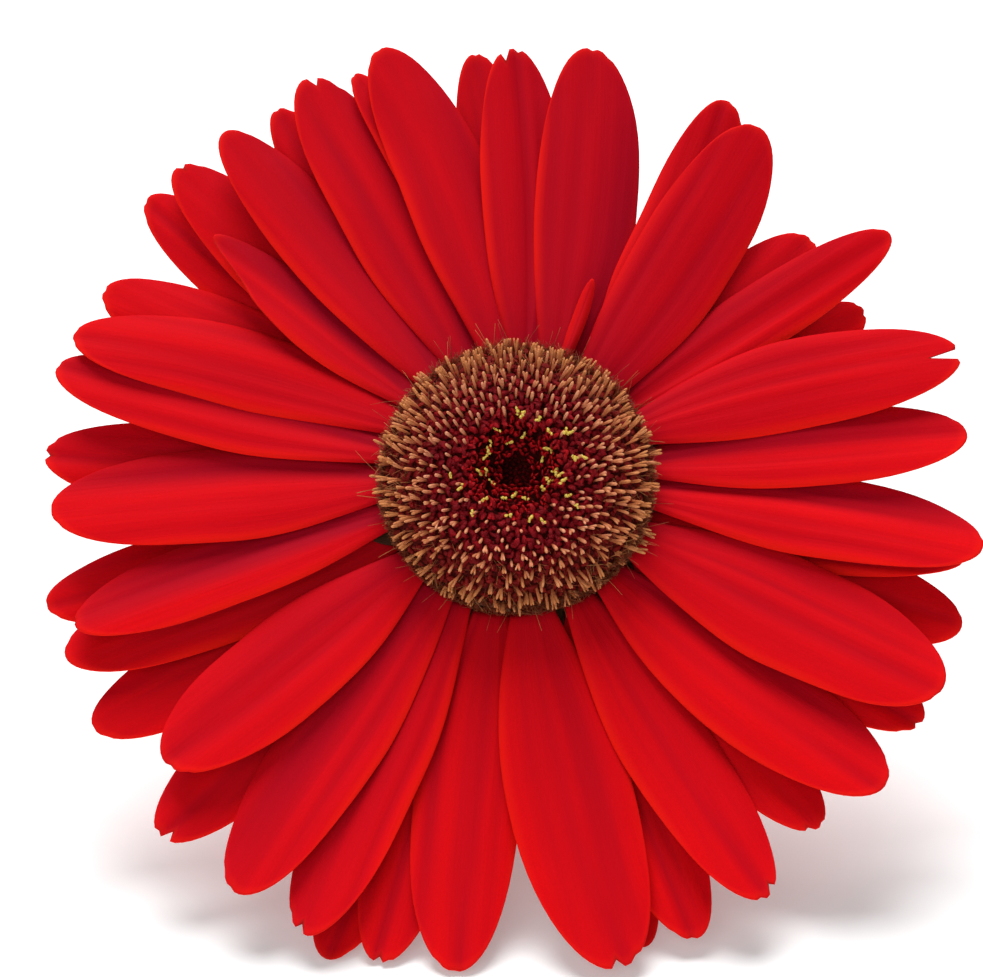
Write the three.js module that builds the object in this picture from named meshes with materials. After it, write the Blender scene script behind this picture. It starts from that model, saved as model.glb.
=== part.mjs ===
import * as THREE from "three";

// A cut gerbera laid on a table, in millimetres with +Z up. The head faces -Y and leans back on its
// neck; it rests on the tips of its lowest rays and on the scape (the leafless stem) behind it.
// Inside the head, z runs along the head's axis towards the viewer, y points to its top edge and
// angles are degrees clockwise from y.

// Driving dimensions.
const headRadius = 60;
const discRadius = 15.8;
const petalThickness = 0.6;
const clearance = 0.4;
const headElevation = 42;
const scapeLength = 236;
const scapeRadius = 2.3;

// Sizes that follow from them.
const edgeLift = petalThickness + clearance;
const layerStep = 2.35 * edgeLift;
const clawRadius = discRadius + clearance;
const dishRise = 0.03 * headRadius;
const camber = 0.35;
const widest = 0.5;
const bractThickness = 0.8;
const bractDrop = 1.8 * layerStep + 2 * edgeLift;

const rayRed = 0xc8101c;
const degrees = Math.PI / 180;

// One row a ray floret: the angle of its tip, how far clockwise of the tip its claw sits, its reach
// and its width as shares of the head's radius, how many layers it lies behind the front one, which
// way it leans (1 has its clockwise edge up), how deep its tip is notched and how much it curls up.
const rays = [
  { tip: 9.3, lean: 9.5, reach: 0.968, width: 0.215, layer: 0, tilt: -1, notch: 0.3, curl: 0 },
  { tip: 359.5, lean: 4.5, reach: 0.958, width: 0.178, layer: 0, tilt: -1, notch: 1.4, curl: 0 },
  { tip: 354.7, lean: 4, reach: 0.972, width: 0.15, layer: 1.4, tilt: -0.4, notch: 0.2, curl: 0 },
  { tip: 342.8, lean: 10.5, reach: 0.993, width: 0.195, layer: 0, tilt: -1, notch: 0, curl: 0.4 },
  { tip: 338.8, lean: 14.5, reach: 0.965, width: 0.122, layer: 0.36, tilt: -1, notch: 0, curl: 0 },
  { tip: 333, lean: 4.5, reach: 0.996, width: 0.2, layer: 0.18, tilt: -1, notch: 1.3, curl: 0 },
  { tip: 328.2, lean: 1, reach: 0.98, width: 0.145, layer: 1, tilt: -0.4, notch: 0.2, curl: 0 },
  { tip: 320.8, lean: 2, reach: 0.984, width: 0.167, layer: 0, tilt: -1, notch: 0, curl: 0.3 },
  { tip: 313.8, lean: 1, reach: 1.008, width: 0.18, layer: 1, tilt: -0.4, notch: 0.6, curl: 0 },
  { tip: 309, lean: 0, reach: 1.018, width: 0.175, layer: 1.8, tilt: -0.4, notch: 0.2, curl: 0 },
  { tip: 309.6, lean: 0.5, reach: 0.835, width: 0.137, layer: 0, tilt: -1, notch: 0, curl: 0.5 },
  { tip: 296.4, lean: 3, reach: 0.97, width: 0.185, layer: 1.1, tilt: -0.4, notch: 0.2, curl: 0 },
  { tip: 288.8, lean: 10, reach: 0.974, width: 0.175, layer: 0, tilt: -1, notch: 0, curl: 0 },
  { tip: 284, lean: 1.3, reach: 0.988, width: 0.172, layer: 0, tilt: -1, notch: 0, curl: 0 },
  { tip: 274.4, lean: 0, reach: 0.985, width: 0.185, layer: 1, tilt: -0.4, notch: 0.7, curl: 0 },
  { tip: 266, lean: 3.5, reach: 0.957, width: 0.205, layer: 0, tilt: -1, notch: 0, curl: 0.3 },
  { tip: 256.4, lean: 0, reach: 1.002, width: 0.175, layer: 1.8, tilt: -0.4, notch: 0.1, curl: 0 },
  { tip: 251.2, lean: 4, reach: 0.947, width: 0.162, layer: 0, tilt: -1, notch: 0.2, curl: 0.3 },
  { tip: 248.5, lean: 0, reach: 0.99, width: 0.18, layer: 1, tilt: -0.4, notch: 0, curl: 0 },
  { tip: 238.9, lean: 0, reach: 1, width: 0.188, layer: 1.8, tilt: -0.4, notch: 0.1, curl: 0 },
  { tip: 230.1, lean: 0.3, reach: 0.917, width: 0.215, layer: -0.25, tilt: -0.9, notch: 0.3, curl: 0.4 },
  { tip: 224.4, lean: 0, reach: 1.024, width: 0.196, layer: 1, tilt: -0.4, notch: 1.5, curl: 0 },
  { tip: 213.5, lean: 2, reach: 1.012, width: 0.203, layer: 0, tilt: -1, notch: 0.2, curl: 0 },
  { tip: 204.4, lean: 2, reach: 1.018, width: 0.185, layer: 0.17, tilt: -1, notch: 1, curl: 0 },
  { tip: 201.4, lean: -1, reach: 1.042, width: 0.18, layer: 1.8, tilt: -0.4, notch: 0, curl: 0.2 },
  { tip: 195.6, lean: 1, reach: 1.018, width: 0.182, layer: 1, tilt: -0.2, notch: 0.8, curl: 0 },
  { tip: 187.6, lean: 3, reach: 1.005, width: 0.213, layer: 0.4, tilt: 0, notch: 0.1, curl: 0 },
  { tip: 168.9, lean: 4, reach: 1.014, width: 0.25, layer: -0.25, tilt: 0.4, notch: 1.2, curl: 0 },
  { tip: 164.6, lean: 1, reach: 0.98, width: 0.15, layer: 1.8, tilt: 0.4, notch: 0, curl: -1.5 },
  { tip: 158.8, lean: 0, reach: 1, width: 0.182, layer: 1, tilt: 0.4, notch: 0.3, curl: 0 },
  { tip: 150.6, lean: 1.3, reach: 0.99, width: 0.187, layer: 0, tilt: 1, notch: 1, curl: 0 },
  { tip: 139.3, lean: 0, reach: 0.938, width: 0.175, layer: 1, tilt: 0.4, notch: 0.6, curl: 0 },
  { tip: 131.1, lean: 4.7, reach: 0.972, width: 0.215, layer: 0, tilt: 1, notch: 0, curl: 0 },
  { tip: 121, lean: 0, reach: 0.965, width: 0.18, layer: 1, tilt: 0.4, notch: 0.6, curl: 0 },
  { tip: 116.7, lean: -1, reach: 0.966, width: 0.24, layer: -0.25, tilt: 0.9, notch: 0, curl: 0.3 },
  { tip: 107.8, lean: -1.5, reach: 0.965, width: 0.188, layer: 1.8, tilt: 0.4, notch: 0, curl: 0 },
  { tip: 97.6, lean: -3.5, reach: 0.968, width: 0.182, layer: 0, tilt: 1, notch: 0, curl: 0 },
  { tip: 99.4, lean: 3, reach: 0.942, width: 0.12, layer: 1, tilt: 0.4, notch: 0, curl: 0 },
  { tip: 84, lean: -2.7, reach: 0.94, width: 0.172, layer: 0, tilt: 1, notch: 0, curl: 0 },
  { tip: 74.2, lean: -8.4, reach: 0.96, width: 0.193, layer: -0.25, tilt: 0.4, notch: 3.4, curl: 0.3 },
  { tip: 62, lean: 2, reach: 0.838, width: 0.16, layer: 1.8, tilt: 0, notch: 0.3, curl: 0 },
  { tip: 55.8, lean: -2.4, reach: 0.958, width: 0.14, layer: 0.42, tilt: 0, notch: 0, curl: 0.4 },
  { tip: 49.4, lean: 0.5, reach: 0.832, width: 0.182, layer: 1.12, tilt: 0, notch: 0.2, curl: 0 },
  { tip: 33.8, lean: 4.7, reach: 0.927, width: 0.205, layer: -0.25, tilt: -0.9, notch: 0, curl: 0.4 },
  { tip: 29.4, lean: 7, reach: 0.957, width: 0.165, layer: 0.42, tilt: -1, notch: 0.1, curl: 0 },
];

// A small late floret stands over the base of the first ray.
const lateRay = {
  tip: 20.5,
  lean: 0.5,
  reach: 0.46,
  width: 0.062,
  layer: -0.68,
  tilt: 0,
  notch: 0,
  curl: 0.8,
};

// Joins an upper and a lower grid of points into one closed shell. A wrapped grid runs full circle.
function shell({ rows, columns, wrapped, upper, lower }) {
  const positions = [];
  const triangles = [];
  const across = wrapped ? columns : columns + 1;
  const levels = [upper, lower];
  for (const level of levels) {
    for (let i = 0; i <= rows; i += 1) {
      for (let j = 0; j < across; j += 1) {
        positions.push(...level(i, j).toArray());
      }
    }
  }
  const at = (level, i, j) => (level * (rows + 1) + i) * across + (j % across);
  const quad = (a, b, c, d) => triangles.push(a, b, c, a, c, d);
  for (let i = 0; i < rows; i += 1) {
    for (let j = 0; j < columns; j += 1) {
      quad(at(0, i, j), at(0, i, j + 1), at(0, i + 1, j + 1), at(0, i + 1, j));
      quad(at(1, i, j), at(1, i + 1, j), at(1, i + 1, j + 1), at(1, i, j + 1));
    }
    if (!wrapped) {
      quad(at(0, i, 0), at(0, i + 1, 0), at(1, i + 1, 0), at(1, i, 0));
      quad(at(0, i, columns), at(1, i, columns), at(1, i + 1, columns), at(0, i + 1, columns));
    }
  }
  for (let j = 0; j < columns; j += 1) {
    quad(at(0, 0, j), at(1, 0, j), at(1, 0, j + 1), at(0, 0, j + 1));
    quad(at(0, rows, j), at(0, rows, j + 1), at(1, rows, j + 1), at(1, rows, j));
  }
  const geometry = new THREE.BufferGeometry();
  geometry.setAttribute("position", new THREE.Float32BufferAttribute(positions, 3));
  geometry.setIndex(triangles);
  geometry.computeVertexNormals();
  return geometry;
}

// A point in the head, from its clockwise angle, its distance from the axis and its height.
function headPoint(angle, radius, height) {
  return new THREE.Vector3(
    radius * Math.sin(angle * degrees),
    radius * Math.cos(angle * degrees),
    height,
  );
}

// The outline of a ray floret: a claw that swells to the blade and closes in a round tip. The claw
// is the same share of the disc as the blade is of the head.
function rayWidth(ray, u) {
  const claw = ray.width * discRadius;
  const blade = ray.width * headRadius;
  if (u < widest) {
    return claw + (blade - claw) * Math.sin((Math.PI / 2) * (u / widest));
  }
  return blade * (1 - ((u - widest) / (1 - widest)) ** 2.6) ** 0.5;
}

const rayStations = [0, 0.12, 0.28, 0.47, 0.67, 0.84, 0.94, 0.985];
const rayColumns = 4;

function rayGeometry(ray) {
  const rows = rayStations.length - 1;
  const reach = ray.reach * headRadius;
  const midline = (u) => {
    const radius = clawRadius + (reach - clawRadius) * u;
    return headPoint(ray.tip + ray.lean * (1 - u), radius, 0);
  };
  const middle = (i, j) => {
    const s = (2 * j) / rayColumns - 1;
    const u = rayStations[i];
    const notched = i === rows && s === 0 ? (ray.notch + 0.2) / (reach - clawRadius) : 0;
    const point = midline(u - notched);
    const along = midline(u + 0.01).sub(midline(u - 0.01)).normalize();
    const half = rayWidth(ray, u) / 2;
    point.x += along.y * half * s;
    point.y -= along.x * half * s;
    const outward = Math.hypot(point.x, point.y) - clawRadius;
    const dish = dishRise * (outward / (headRadius - clawRadius)) ** 2;
    const spread = 0.4 + 0.6 * Math.min(1, u / 0.3);
    point.z = dish - ray.layer * layerStep + ray.tilt * edgeLift * spread * s;
    point.z += ray.curl * u ** 3 - camber * s * s;
    return point;
  };
  const offset = (i, j, side) => {
    const s = (2 * j) / rayColumns - 1;
    const point = middle(i, j);
    point.z += side * (petalThickness / 2) * (1 - 0.35 * s * s);
    return point;
  };
  return shell({
    rows,
    columns: rayColumns,
    wrapped: false,
    upper: (i, j) => offset(i, j, 1),
    lower: (i, j) => offset(i, j, -1),
  });
}

// A ring of pointed bracts, grown together at the base: [radius, height] at base, bend and tip.
function bractRing({ count, base, bend, tip }) {
  const rows = 3;
  const pointShare = [0.42, 0.8, 1, 0.8];
  const columns = count * pointShare.length;
  const curve = new THREE.QuadraticBezierCurve(
    new THREE.Vector2(...base),
    new THREE.Vector2(...bend),
    new THREE.Vector2(...tip),
  );
  const surface = (side) => (i, j) => {
    const along = (i / rows) * pointShare[j % pointShare.length];
    const point = curve.getPoint(along);
    const direction = curve.getTangent(along);
    const half = (side * bractThickness * (1 - 0.4 * along)) / 2;
    const angle = (360 * j) / columns;
    return headPoint(angle, point.x - direction.y * half, point.y + direction.x * half);
  };
  return shell({ rows, columns, wrapped: true, upper: surface(1), lower: surface(-1) });
}

// The receptacle's top and the crown of the disc above it, by distance from the axis.
const receptacleTop = (radius) => 2.2 - 1.5 * (radius / discRadius) ** 2;
const discTop = (radius) => 8.7 - 3.6 * Math.abs(radius / discRadius - 0.5) ** 1.5 / 0.45;

// One ring of crowded disc florets: a bumpy top over a plain underside.
function floretRing({ count, inner, outerTop, outerBase, rows, bump }) {
  const columns = 2 * count;
  const upper = (i, j) => {
    const radius = inner + ((outerTop - inner) * i) / rows;
    const raised = (i + j) % 2 === 0 ? bump : 0;
    return headPoint((360 * j) / columns, radius, discTop(radius) + raised);
  };
  const lower = (i, j) => {
    const radius = inner + ((outerBase - inner) * i) / rows;
    return headPoint((360 * j) / columns, radius, receptacleTop(radius) + clearance);
  };
  return shell({ rows, columns, wrapped: true, upper, lower });
}

// The hair collar of the outer florets, a thin frayed cone over the claws of the rays.
function pappusRing({ count, inner, outer, low, high, thickness }) {
  const rows = 1;
  const columns = 2 * count;
  const surface = (side) => (i, j) => {
    const frayed = j % 2 === 0 ? 1 : 0.72;
    const along = (i / rows) * frayed;
    const height = low + (high - low) * along + side * thickness * (0.5 - 0.2 * along);
    return headPoint((360 * j) / columns, inner + (outer - inner) * along, height);
  };
  return shell({ rows, columns, wrapped: true, upper: surface(1), lower: surface(-1) });
}

// A solid turned about the head's axis from [radius, height] points.
function turned(profile, segments) {
  const points = profile.map(([radius, height]) => new THREE.Vector2(radius, height));
  return new THREE.LatheGeometry(points, segments).rotateX(Math.PI / 2);
}

// A solid tube along a path: radiusAt gives its radius and the last ring is cut on a slant.
function scapeGeometry(path, radiusAt, cutSlant) {
  const sides = 14;
  const last = path.length - 1;
  const positions = [];
  const triangles = [];
  path.forEach((point, i) => {
    const ahead = path[Math.min(i + 1, last)];
    const behind = path[Math.max(i - 1, 0)];
    const tangent = ahead.clone().sub(behind).normalize();
    const side = new THREE.Vector3(1, 0, 0).projectOnPlane(tangent).normalize();
    const up = side.clone().cross(tangent);
    for (let k = 0; k < sides; k += 1) {
      const turn = (2 * Math.PI * k) / sides;
      const radius = radiusAt(i / last) / Math.cos(Math.PI / sides);
      const vertex = point.clone();
      vertex.addScaledVector(side, radius * Math.cos(turn));
      vertex.addScaledVector(up, radius * Math.sin(turn));
      if (i === last) {
        vertex.addScaledVector(tangent, -cutSlant * radius * Math.sin(turn));
      }
      positions.push(...vertex.toArray());
    }
  });
  positions.push(...path[0].toArray(), ...path[last].toArray());
  const startCentre = path.length * sides;
  for (let k = 0; k < sides; k += 1) {
    const next = (k + 1) % sides;
    for (let i = 0; i < last; i += 1) {
      const a = i * sides + k;
      const b = i * sides + next;
      triangles.push(a, b + sides, b, a, a + sides, b + sides);
    }
    triangles.push(startCentre, k, next);
    triangles.push(startCentre + 1, last * sides + next, last * sides + k);
  }
  const geometry = new THREE.BufferGeometry();
  geometry.setAttribute("position", new THREE.Float32BufferAttribute(positions, 3));
  geometry.setIndex(triangles);
  geometry.computeVertexNormals();
  return geometry;
}

function addPiece(parent, name, geometry, color, roughness) {
  const material = new THREE.MeshStandardMaterial({ color, roughness, metalness: 0 });
  const mesh = new THREE.Mesh(geometry, material);
  mesh.name = name;
  parent.add(mesh);
}

const gerbera = new THREE.Group();
gerbera.name = "cut_gerbera";
const head = new THREE.Group();
head.name = "head";
head.rotation.x = Math.PI / 2 - headElevation * degrees;
gerbera.add(head);

rays.forEach((ray, index) => {
  const name = `ray_${String(index + 1).padStart(2, "0")}`;
  addPiece(head, name, rayGeometry(ray), rayRed, 0.6);
});
addPiece(head, "ray_late", rayGeometry(lateRay), rayRed, 0.6);

const rim = discRadius;
const neckDrop = bractDrop + 8.4;
const receptacle = [
  [0, receptacleTop(0)],
  [0.4 * rim, receptacleTop(0.4 * rim)],
  [0.8 * rim, receptacleTop(0.8 * rim)],
  [rim - clearance, receptacleTop(rim)],
  [rim, -0.3],
  [rim - 0.2, -bractDrop + 0.6],
  [0.85 * rim, -bractDrop - 1.6],
  [0.6 * rim, -bractDrop - 4.2],
  [0.36 * rim, -bractDrop - 6.2],
  [0.25 * rim, -bractDrop - 7.6],
  [0.21 * rim, -neckDrop],
  [0, -neckDrop],
].reverse();
addPiece(head, "receptacle", turned(receptacle, 24), 0x6f8a3a, 0.7);

const innerBracts = {
  count: 18,
  base: [0.67 * rim, -bractDrop - 4.7],
  bend: [rim, -bractDrop - 1.4],
  tip: [1.4 * rim, -bractDrop - 0.2],
};
const middleBracts = {
  count: 15,
  base: [0.52 * rim, -bractDrop - 6.4],
  bend: [0.92 * rim, -bractDrop - 4.7],
  tip: [1.2 * rim, -bractDrop - 2.6],
};
const outerBracts = {
  count: 12,
  base: [0.37 * rim, -bractDrop - 8.7],
  bend: [0.7 * rim, -bractDrop - 8],
  tip: [0.95 * rim, -bractDrop - 5.8],
};
addPiece(head, "bracts_inner", bractRing(innerBracts), 0x6d8b3c, 0.7);
addPiece(head, "bracts_middle", bractRing(middleBracts), 0x64853a, 0.7);
addPiece(head, "bracts_outer", bractRing(outerBracts), 0x5c7d37, 0.7);

const outerFlorets = {
  count: 36,
  inner: 0.62 * rim,
  outerTop: rim + 1.3,
  outerBase: rim - clearance,
  rows: 3,
  bump: 0.9,
};
const middleFlorets = {
  count: 24,
  inner: 0.34 * rim,
  outerTop: 0.62 * rim - clearance,
  outerBase: 0.62 * rim - clearance,
  rows: 3,
  bump: 0.7,
};
addPiece(head, "disc_outer", floretRing(outerFlorets), 0xb9835f, 0.7);
addPiece(head, "disc_middle", floretRing(middleFlorets), 0x7a1a24, 0.7);

const budRadius = 0.34 * rim - clearance;
const buds = [
  [0, receptacleTop(0) + clearance],
  [budRadius, receptacleTop(budRadius) + clearance],
  [budRadius, discTop(budRadius) - 0.4],
  [0.8 * budRadius, discTop(budRadius)],
  [0.6 * budRadius, discTop(budRadius) - 1.2],
  [0.35 * budRadius, discTop(budRadius) - 3.4],
  [0, discTop(budRadius) - 3.9],
];
addPiece(head, "disc_buds", turned(buds, 24), 0x3a0710, 0.75);

const collar = {
  count: 36,
  inner: rim + 0.65,
  outer: rim + 3,
  low: 2.45,
  high: 3.6,
  thickness: 0.5,
};
addPiece(head, "pappus", pappusRing(collar), 0xb07a4a, 0.8);

// The head is lifted until its lowest ray tips touch the table; the neck takes up that height.
gerbera.updateMatrixWorld(true);
head.position.z = -new THREE.Box3().setFromObject(head, true).min.z;
const tiltAngle = headElevation * degrees;
const backward = new THREE.Vector3(0, Math.cos(tiltAngle), -Math.sin(tiltAngle));
const start = head.position.clone().addScaledVector(backward, neckDrop + clearance);
const drop = start.z - scapeRadius;
const neckLength = (0.3 * drop) / Math.sin(tiltAngle);
const bendRadius = (0.7 * drop) / (1 - Math.cos(tiltAngle));
const bendLength = bendRadius * tiltAngle;
const bendStart = start.clone().addScaledVector(backward, neckLength);
const sway = 4;

// The scape leaves the neck straight, bends level and runs back along the table in a slight wave.
function scapePoint(distance) {
  if (distance < neckLength) {
    return start.clone().addScaledVector(backward, distance);
  }
  const turn = Math.min(1, (distance - neckLength) / bendLength) * tiltAngle;
  const point = bendStart.clone();
  point.y += bendRadius * (Math.sin(tiltAngle) - Math.sin(tiltAngle - turn));
  point.z -= bendRadius * (Math.cos(tiltAngle - turn) - Math.cos(tiltAngle));
  const level = Math.max(0, distance - neckLength - bendLength);
  point.y += level;
  point.x = sway * Math.sin((2 * Math.PI * level) / (scapeLength - neckLength - bendLength));
  return point;
}

const scapeStations = 36;
const scapePath = [];
for (let i = 0; i <= scapeStations; i += 1) {
  scapePath.push(scapePoint((scapeLength * i) / scapeStations));
}
const scapeThickness = (t) => scapeRadius * (1 + 0.42 * Math.exp(-14 * t) + 0.16 * t ** 3);
scapePath.forEach((point, i) => {
  const lift = scapeThickness(i / scapeStations) - scapeRadius;
  point.z += lift * (i / scapeStations) ** 2;
});
addPiece(gerbera, "scape", scapeGeometry(scapePath, scapeThickness, 0.6), 0x7fa050, 0.6);

// The origin is the middle of the base of the whole flower.
gerbera.updateMatrixWorld(true);
const bounds = new THREE.Box3().setFromObject(gerbera, true);
const middle = bounds.getCenter(new THREE.Vector3());
gerbera.position.set(-middle.x, -middle.y, -bounds.min.z);

export default gerbera;
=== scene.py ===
import math

import bpy
import numpy as np
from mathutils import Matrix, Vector


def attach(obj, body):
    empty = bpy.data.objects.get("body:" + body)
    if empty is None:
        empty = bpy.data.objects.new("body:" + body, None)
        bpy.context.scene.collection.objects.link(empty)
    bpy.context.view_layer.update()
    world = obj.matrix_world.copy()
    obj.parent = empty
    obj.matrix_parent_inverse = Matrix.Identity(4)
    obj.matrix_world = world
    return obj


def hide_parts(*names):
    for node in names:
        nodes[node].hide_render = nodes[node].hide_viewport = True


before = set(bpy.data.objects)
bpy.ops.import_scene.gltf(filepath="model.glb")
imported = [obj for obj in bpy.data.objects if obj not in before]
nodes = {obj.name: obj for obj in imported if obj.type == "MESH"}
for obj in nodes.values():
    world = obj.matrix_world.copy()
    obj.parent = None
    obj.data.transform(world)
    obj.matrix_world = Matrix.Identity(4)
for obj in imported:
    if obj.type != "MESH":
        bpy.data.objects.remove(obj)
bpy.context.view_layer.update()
rng = np.random.default_rng(23)
mm = 0.001
goldenTurn = math.pi * (3 - math.sqrt(5))
print("frame loaded with", len(nodes), "pieces")


# what is read from the frame's meshes, in metres
def pointsOf(mesh):
    points = np.empty(len(mesh.vertices) * 3)
    mesh.vertices.foreach_get("co", points)
    return points.reshape(-1, 3)


def cornersOf(name):
    return np.unique(np.round(pointsOf(nodes[name].data), 7), axis=0)


def trianglesOf(name):
    mesh = nodes[name].data
    mesh.calc_loop_triangles()
    index = np.empty(len(mesh.loop_triangles) * 3, int)
    mesh.loop_triangles.foreach_get("vertices", index)
    return pointsOf(mesh)[index].reshape(-1, 3, 3)


# the head's own frame: x to the right, y to its top edge, z along its axis, in millimetres
discSeat = 2.2  # how far the origin lies under the receptacle's top
bractCorners = cornersOf("bracts_inner")
ringCentre = bractCorners.mean(axis=0)
headAxis = np.linalg.svd(bractCorners - ringCentre)[2][2]
headAxis = headAxis * -np.sign(headAxis[1])  # the head faces -Y
rightAxis = np.array([1.0, 0.0, 0.0])
upAxis = np.cross(headAxis, rightAxis)
headFrame = np.array([rightAxis, upAxis, headAxis])
receptacleTop = ((cornersOf("receptacle") - ringCentre) @ headAxis).max()
headOrigin = ringCentre + headAxis * (receptacleTop - discSeat * mm)
tableUp = headFrame @ np.array([0, 0, 1.0])
tableLevel = -headOrigin[2] / mm


def toHead(points):
    return (points - headOrigin) @ headFrame.T / mm


def toRow(points):
    return headOrigin + (np.asarray(points, float) * mm) @ headFrame


def polar(angle, radius, height):  # the angle is clockwise from the head's top edge, in radians
    return np.stack(np.broadcast_arrays(radius * np.sin(angle), radius * np.cos(angle), height), -1)


# the segments in which a plane cuts a set of triangles
def cutAcross(triangles, point, normal):
    distance = (triangles - point) @ normal
    crossing = []
    places = []
    for a, b in ((0, 1), (1, 2), (2, 0)):
        crosses = (distance[:, a] < 0) != (distance[:, b] < 0)
        span = np.where(crosses, distance[:, a] - distance[:, b], 1)
        share = (distance[:, a] / span)[:, None]
        crossing.append(crosses)
        places.append(triangles[:, a] + share * (triangles[:, b] - triangles[:, a]))
    crossing = np.array(crossing)
    picked = np.argsort(~crossing, axis=0, kind="stable")[:2]
    segments = np.take_along_axis(np.array(places), picked[:, :, None], axis=0)
    return segments.transpose(1, 0, 2)[crossing.sum(axis=0) == 2]


# mesh making
def makePiece(name, points, faces, values, material, stands=()):
    mesh = bpy.data.meshes.new(name)
    mesh.from_pydata(toRow(points).tolist(), [], faces)
    for key, value in values.items():
        value = np.asarray(value, np.float32)
        kind, field = ("FLOAT", "value") if value.ndim == 1 else ("FLOAT_VECTOR", "vector")
        mesh.attributes.new(key, kind, "POINT").data.foreach_set(field, value.ravel())
    mesh.polygons.foreach_set("use_smooth", np.ones(len(mesh.polygons), bool))
    mesh.materials.append(material)
    mesh.update()
    piece = bpy.data.objects.new(name, mesh)
    bpy.context.scene.collection.objects.link(piece)
    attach(piece, "root")
    if stands:
        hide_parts(*stands)
    return piece


def gridFaces(index, flip=False):
    ring = [index[:-1, :-1], index[1:, :-1], index[1:, 1:], index[:-1, 1:]]
    return np.stack(ring[::-1] if flip else ring, -1).reshape(-1, 4).tolist()


def bandFaces(rows, turns, flip=False):  # rows of corners that close on themselves, capped at both ends
    index = np.arange(rows * turns).reshape(rows, turns)
    following = np.roll(index, -1, axis=1)
    quads = np.stack([index[:-1], following[:-1], following[1:], index[1:]], -1).reshape(-1, 4)
    caps = [index[0][::-1], index[-1]]
    if flip:
        quads, caps = quads[:, ::-1], [cap[::-1] for cap in caps]
    return quads.tolist() + [cap.tolist() for cap in caps]


# many closed tubes at once: paths is tubes x rings x 3, radii is tubes x rings
def tubeMesh(paths, radii, sides, reference, thin=1.0):
    count, rings, _ = paths.shape
    tangent = np.gradient(paths, axis=1)
    tangent /= np.linalg.norm(tangent, axis=2, keepdims=True) + 1e-12
    side = np.cross(tangent, np.broadcast_to(reference, (count, 3))[:, None, :])
    side /= np.linalg.norm(side, axis=2, keepdims=True) + 1e-12
    lift = np.cross(side, tangent)
    turn = 2 * np.pi * np.arange(sides) / sides
    ring = side[:, :, None] * np.cos(turn)[:, None] + thin * lift[:, :, None] * np.sin(turn)[:, None]
    points = paths[:, :, None] + ring * radii[:, :, None, None]
    tube, row, k = np.meshgrid(np.arange(count), np.arange(rings - 1), np.arange(sides), indexing="ij")
    first = (tube * rings + row) * sides
    following = (k + 1) % sides
    quads = np.stack([first + k, first + sides + k, first + sides + following, first + following], -1)
    faces = quads.reshape(-1, 4).tolist()
    for i in range(count):
        start = i * rings * sides
        end = start + (rings - 1) * sides
        faces.append(list(range(start, start + sides)))
        faces.append(list(range(end + sides - 1, end - 1, -1)))
    return points.reshape(-1, 3), faces


def perTube(value, rings, sides):  # a value of each tube, given to all its corners
    return np.repeat(np.asarray(value, float), rings * sides)


def alongTube(count, rings, sides):  # 0 at a tube's root and 1 at its tip
    return np.tile(np.repeat(np.linspace(0, 1, rings), sides), count)


def bentLine(turn, step):  # how far out and up a line gets that turns as it goes
    return np.cumsum(np.sin(turn) * step, axis=1), np.cumsum(np.cos(turn) * step, axis=1)


def bell(value, centre, width):
    return np.exp(-(((value - centre) / width) ** 2))


# shader node groups
def newGroup(name, inputs, outputs):
    group = bpy.data.node_groups.new(name, "ShaderNodeTree")
    for label, kind, value in inputs:
        socket = group.interface.new_socket(label, in_out="INPUT", socket_type=kind)
        if value is not None:
            socket.default_value = value
    for label, kind in outputs:
        group.interface.new_socket(label, in_out="OUTPUT", socket_type=kind)
    return group, group.nodes.new("NodeGroupInput"), group.nodes.new("NodeGroupOutput")


def addMath(tree, operation, a, b=None):
    node = tree.nodes.new("ShaderNodeMath")
    node.operation = operation
    for i, value in enumerate((a, b)):
        if isinstance(value, bpy.types.NodeSocket):
            tree.links.new(value, node.inputs[i])
        elif value is not None:
            node.inputs[i].default_value = value
    return node.outputs[0]


def addMix(tree, factor, a, b):
    node = tree.nodes.new("ShaderNodeMix")
    node.data_type = "RGBA"
    for socket, value in ((node.inputs[0], factor), (node.inputs[6], a), (node.inputs[7], b)):
        if isinstance(value, bpy.types.NodeSocket):
            tree.links.new(value, socket)
        else:
            socket.default_value = value
    return node.outputs[2]


def addTint(tree, colour, mask, share, target):  # a share of the target, where the mask is 1
    return addMix(tree, addMath(tree, "MULTIPLY", mask, share), colour, target)


def addNoise(tree, vector, scale, detail=2.0, roughness=0.5):
    node = tree.nodes.new("ShaderNodeTexNoise")
    tree.links.new(vector, node.inputs["Vector"])
    if isinstance(scale, bpy.types.NodeSocket):
        tree.links.new(scale, node.inputs["Scale"])
    else:
        node.inputs["Scale"].default_value = scale
    node.inputs["Detail"].default_value = detail
    node.inputs["Roughness"].default_value = roughness
    return node.outputs["Fac"]


def addSpread(tree, value, low, high):  # stretches low to high over 0 to 1
    node = tree.nodes.new("ShaderNodeMapRange")
    tree.links.new(value, node.inputs["Value"])
    for label, limit in (("From Min", low), ("From Max", high)):
        if isinstance(limit, bpy.types.NodeSocket):
            tree.links.new(limit, node.inputs[label])
        else:
            node.inputs[label].default_value = limit
    return node.outputs["Result"]


def addAttribute(tree, name, output="Fac"):
    node = tree.nodes.new("ShaderNodeAttribute")
    node.attribute_name = name
    return node.outputs[output]


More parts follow.
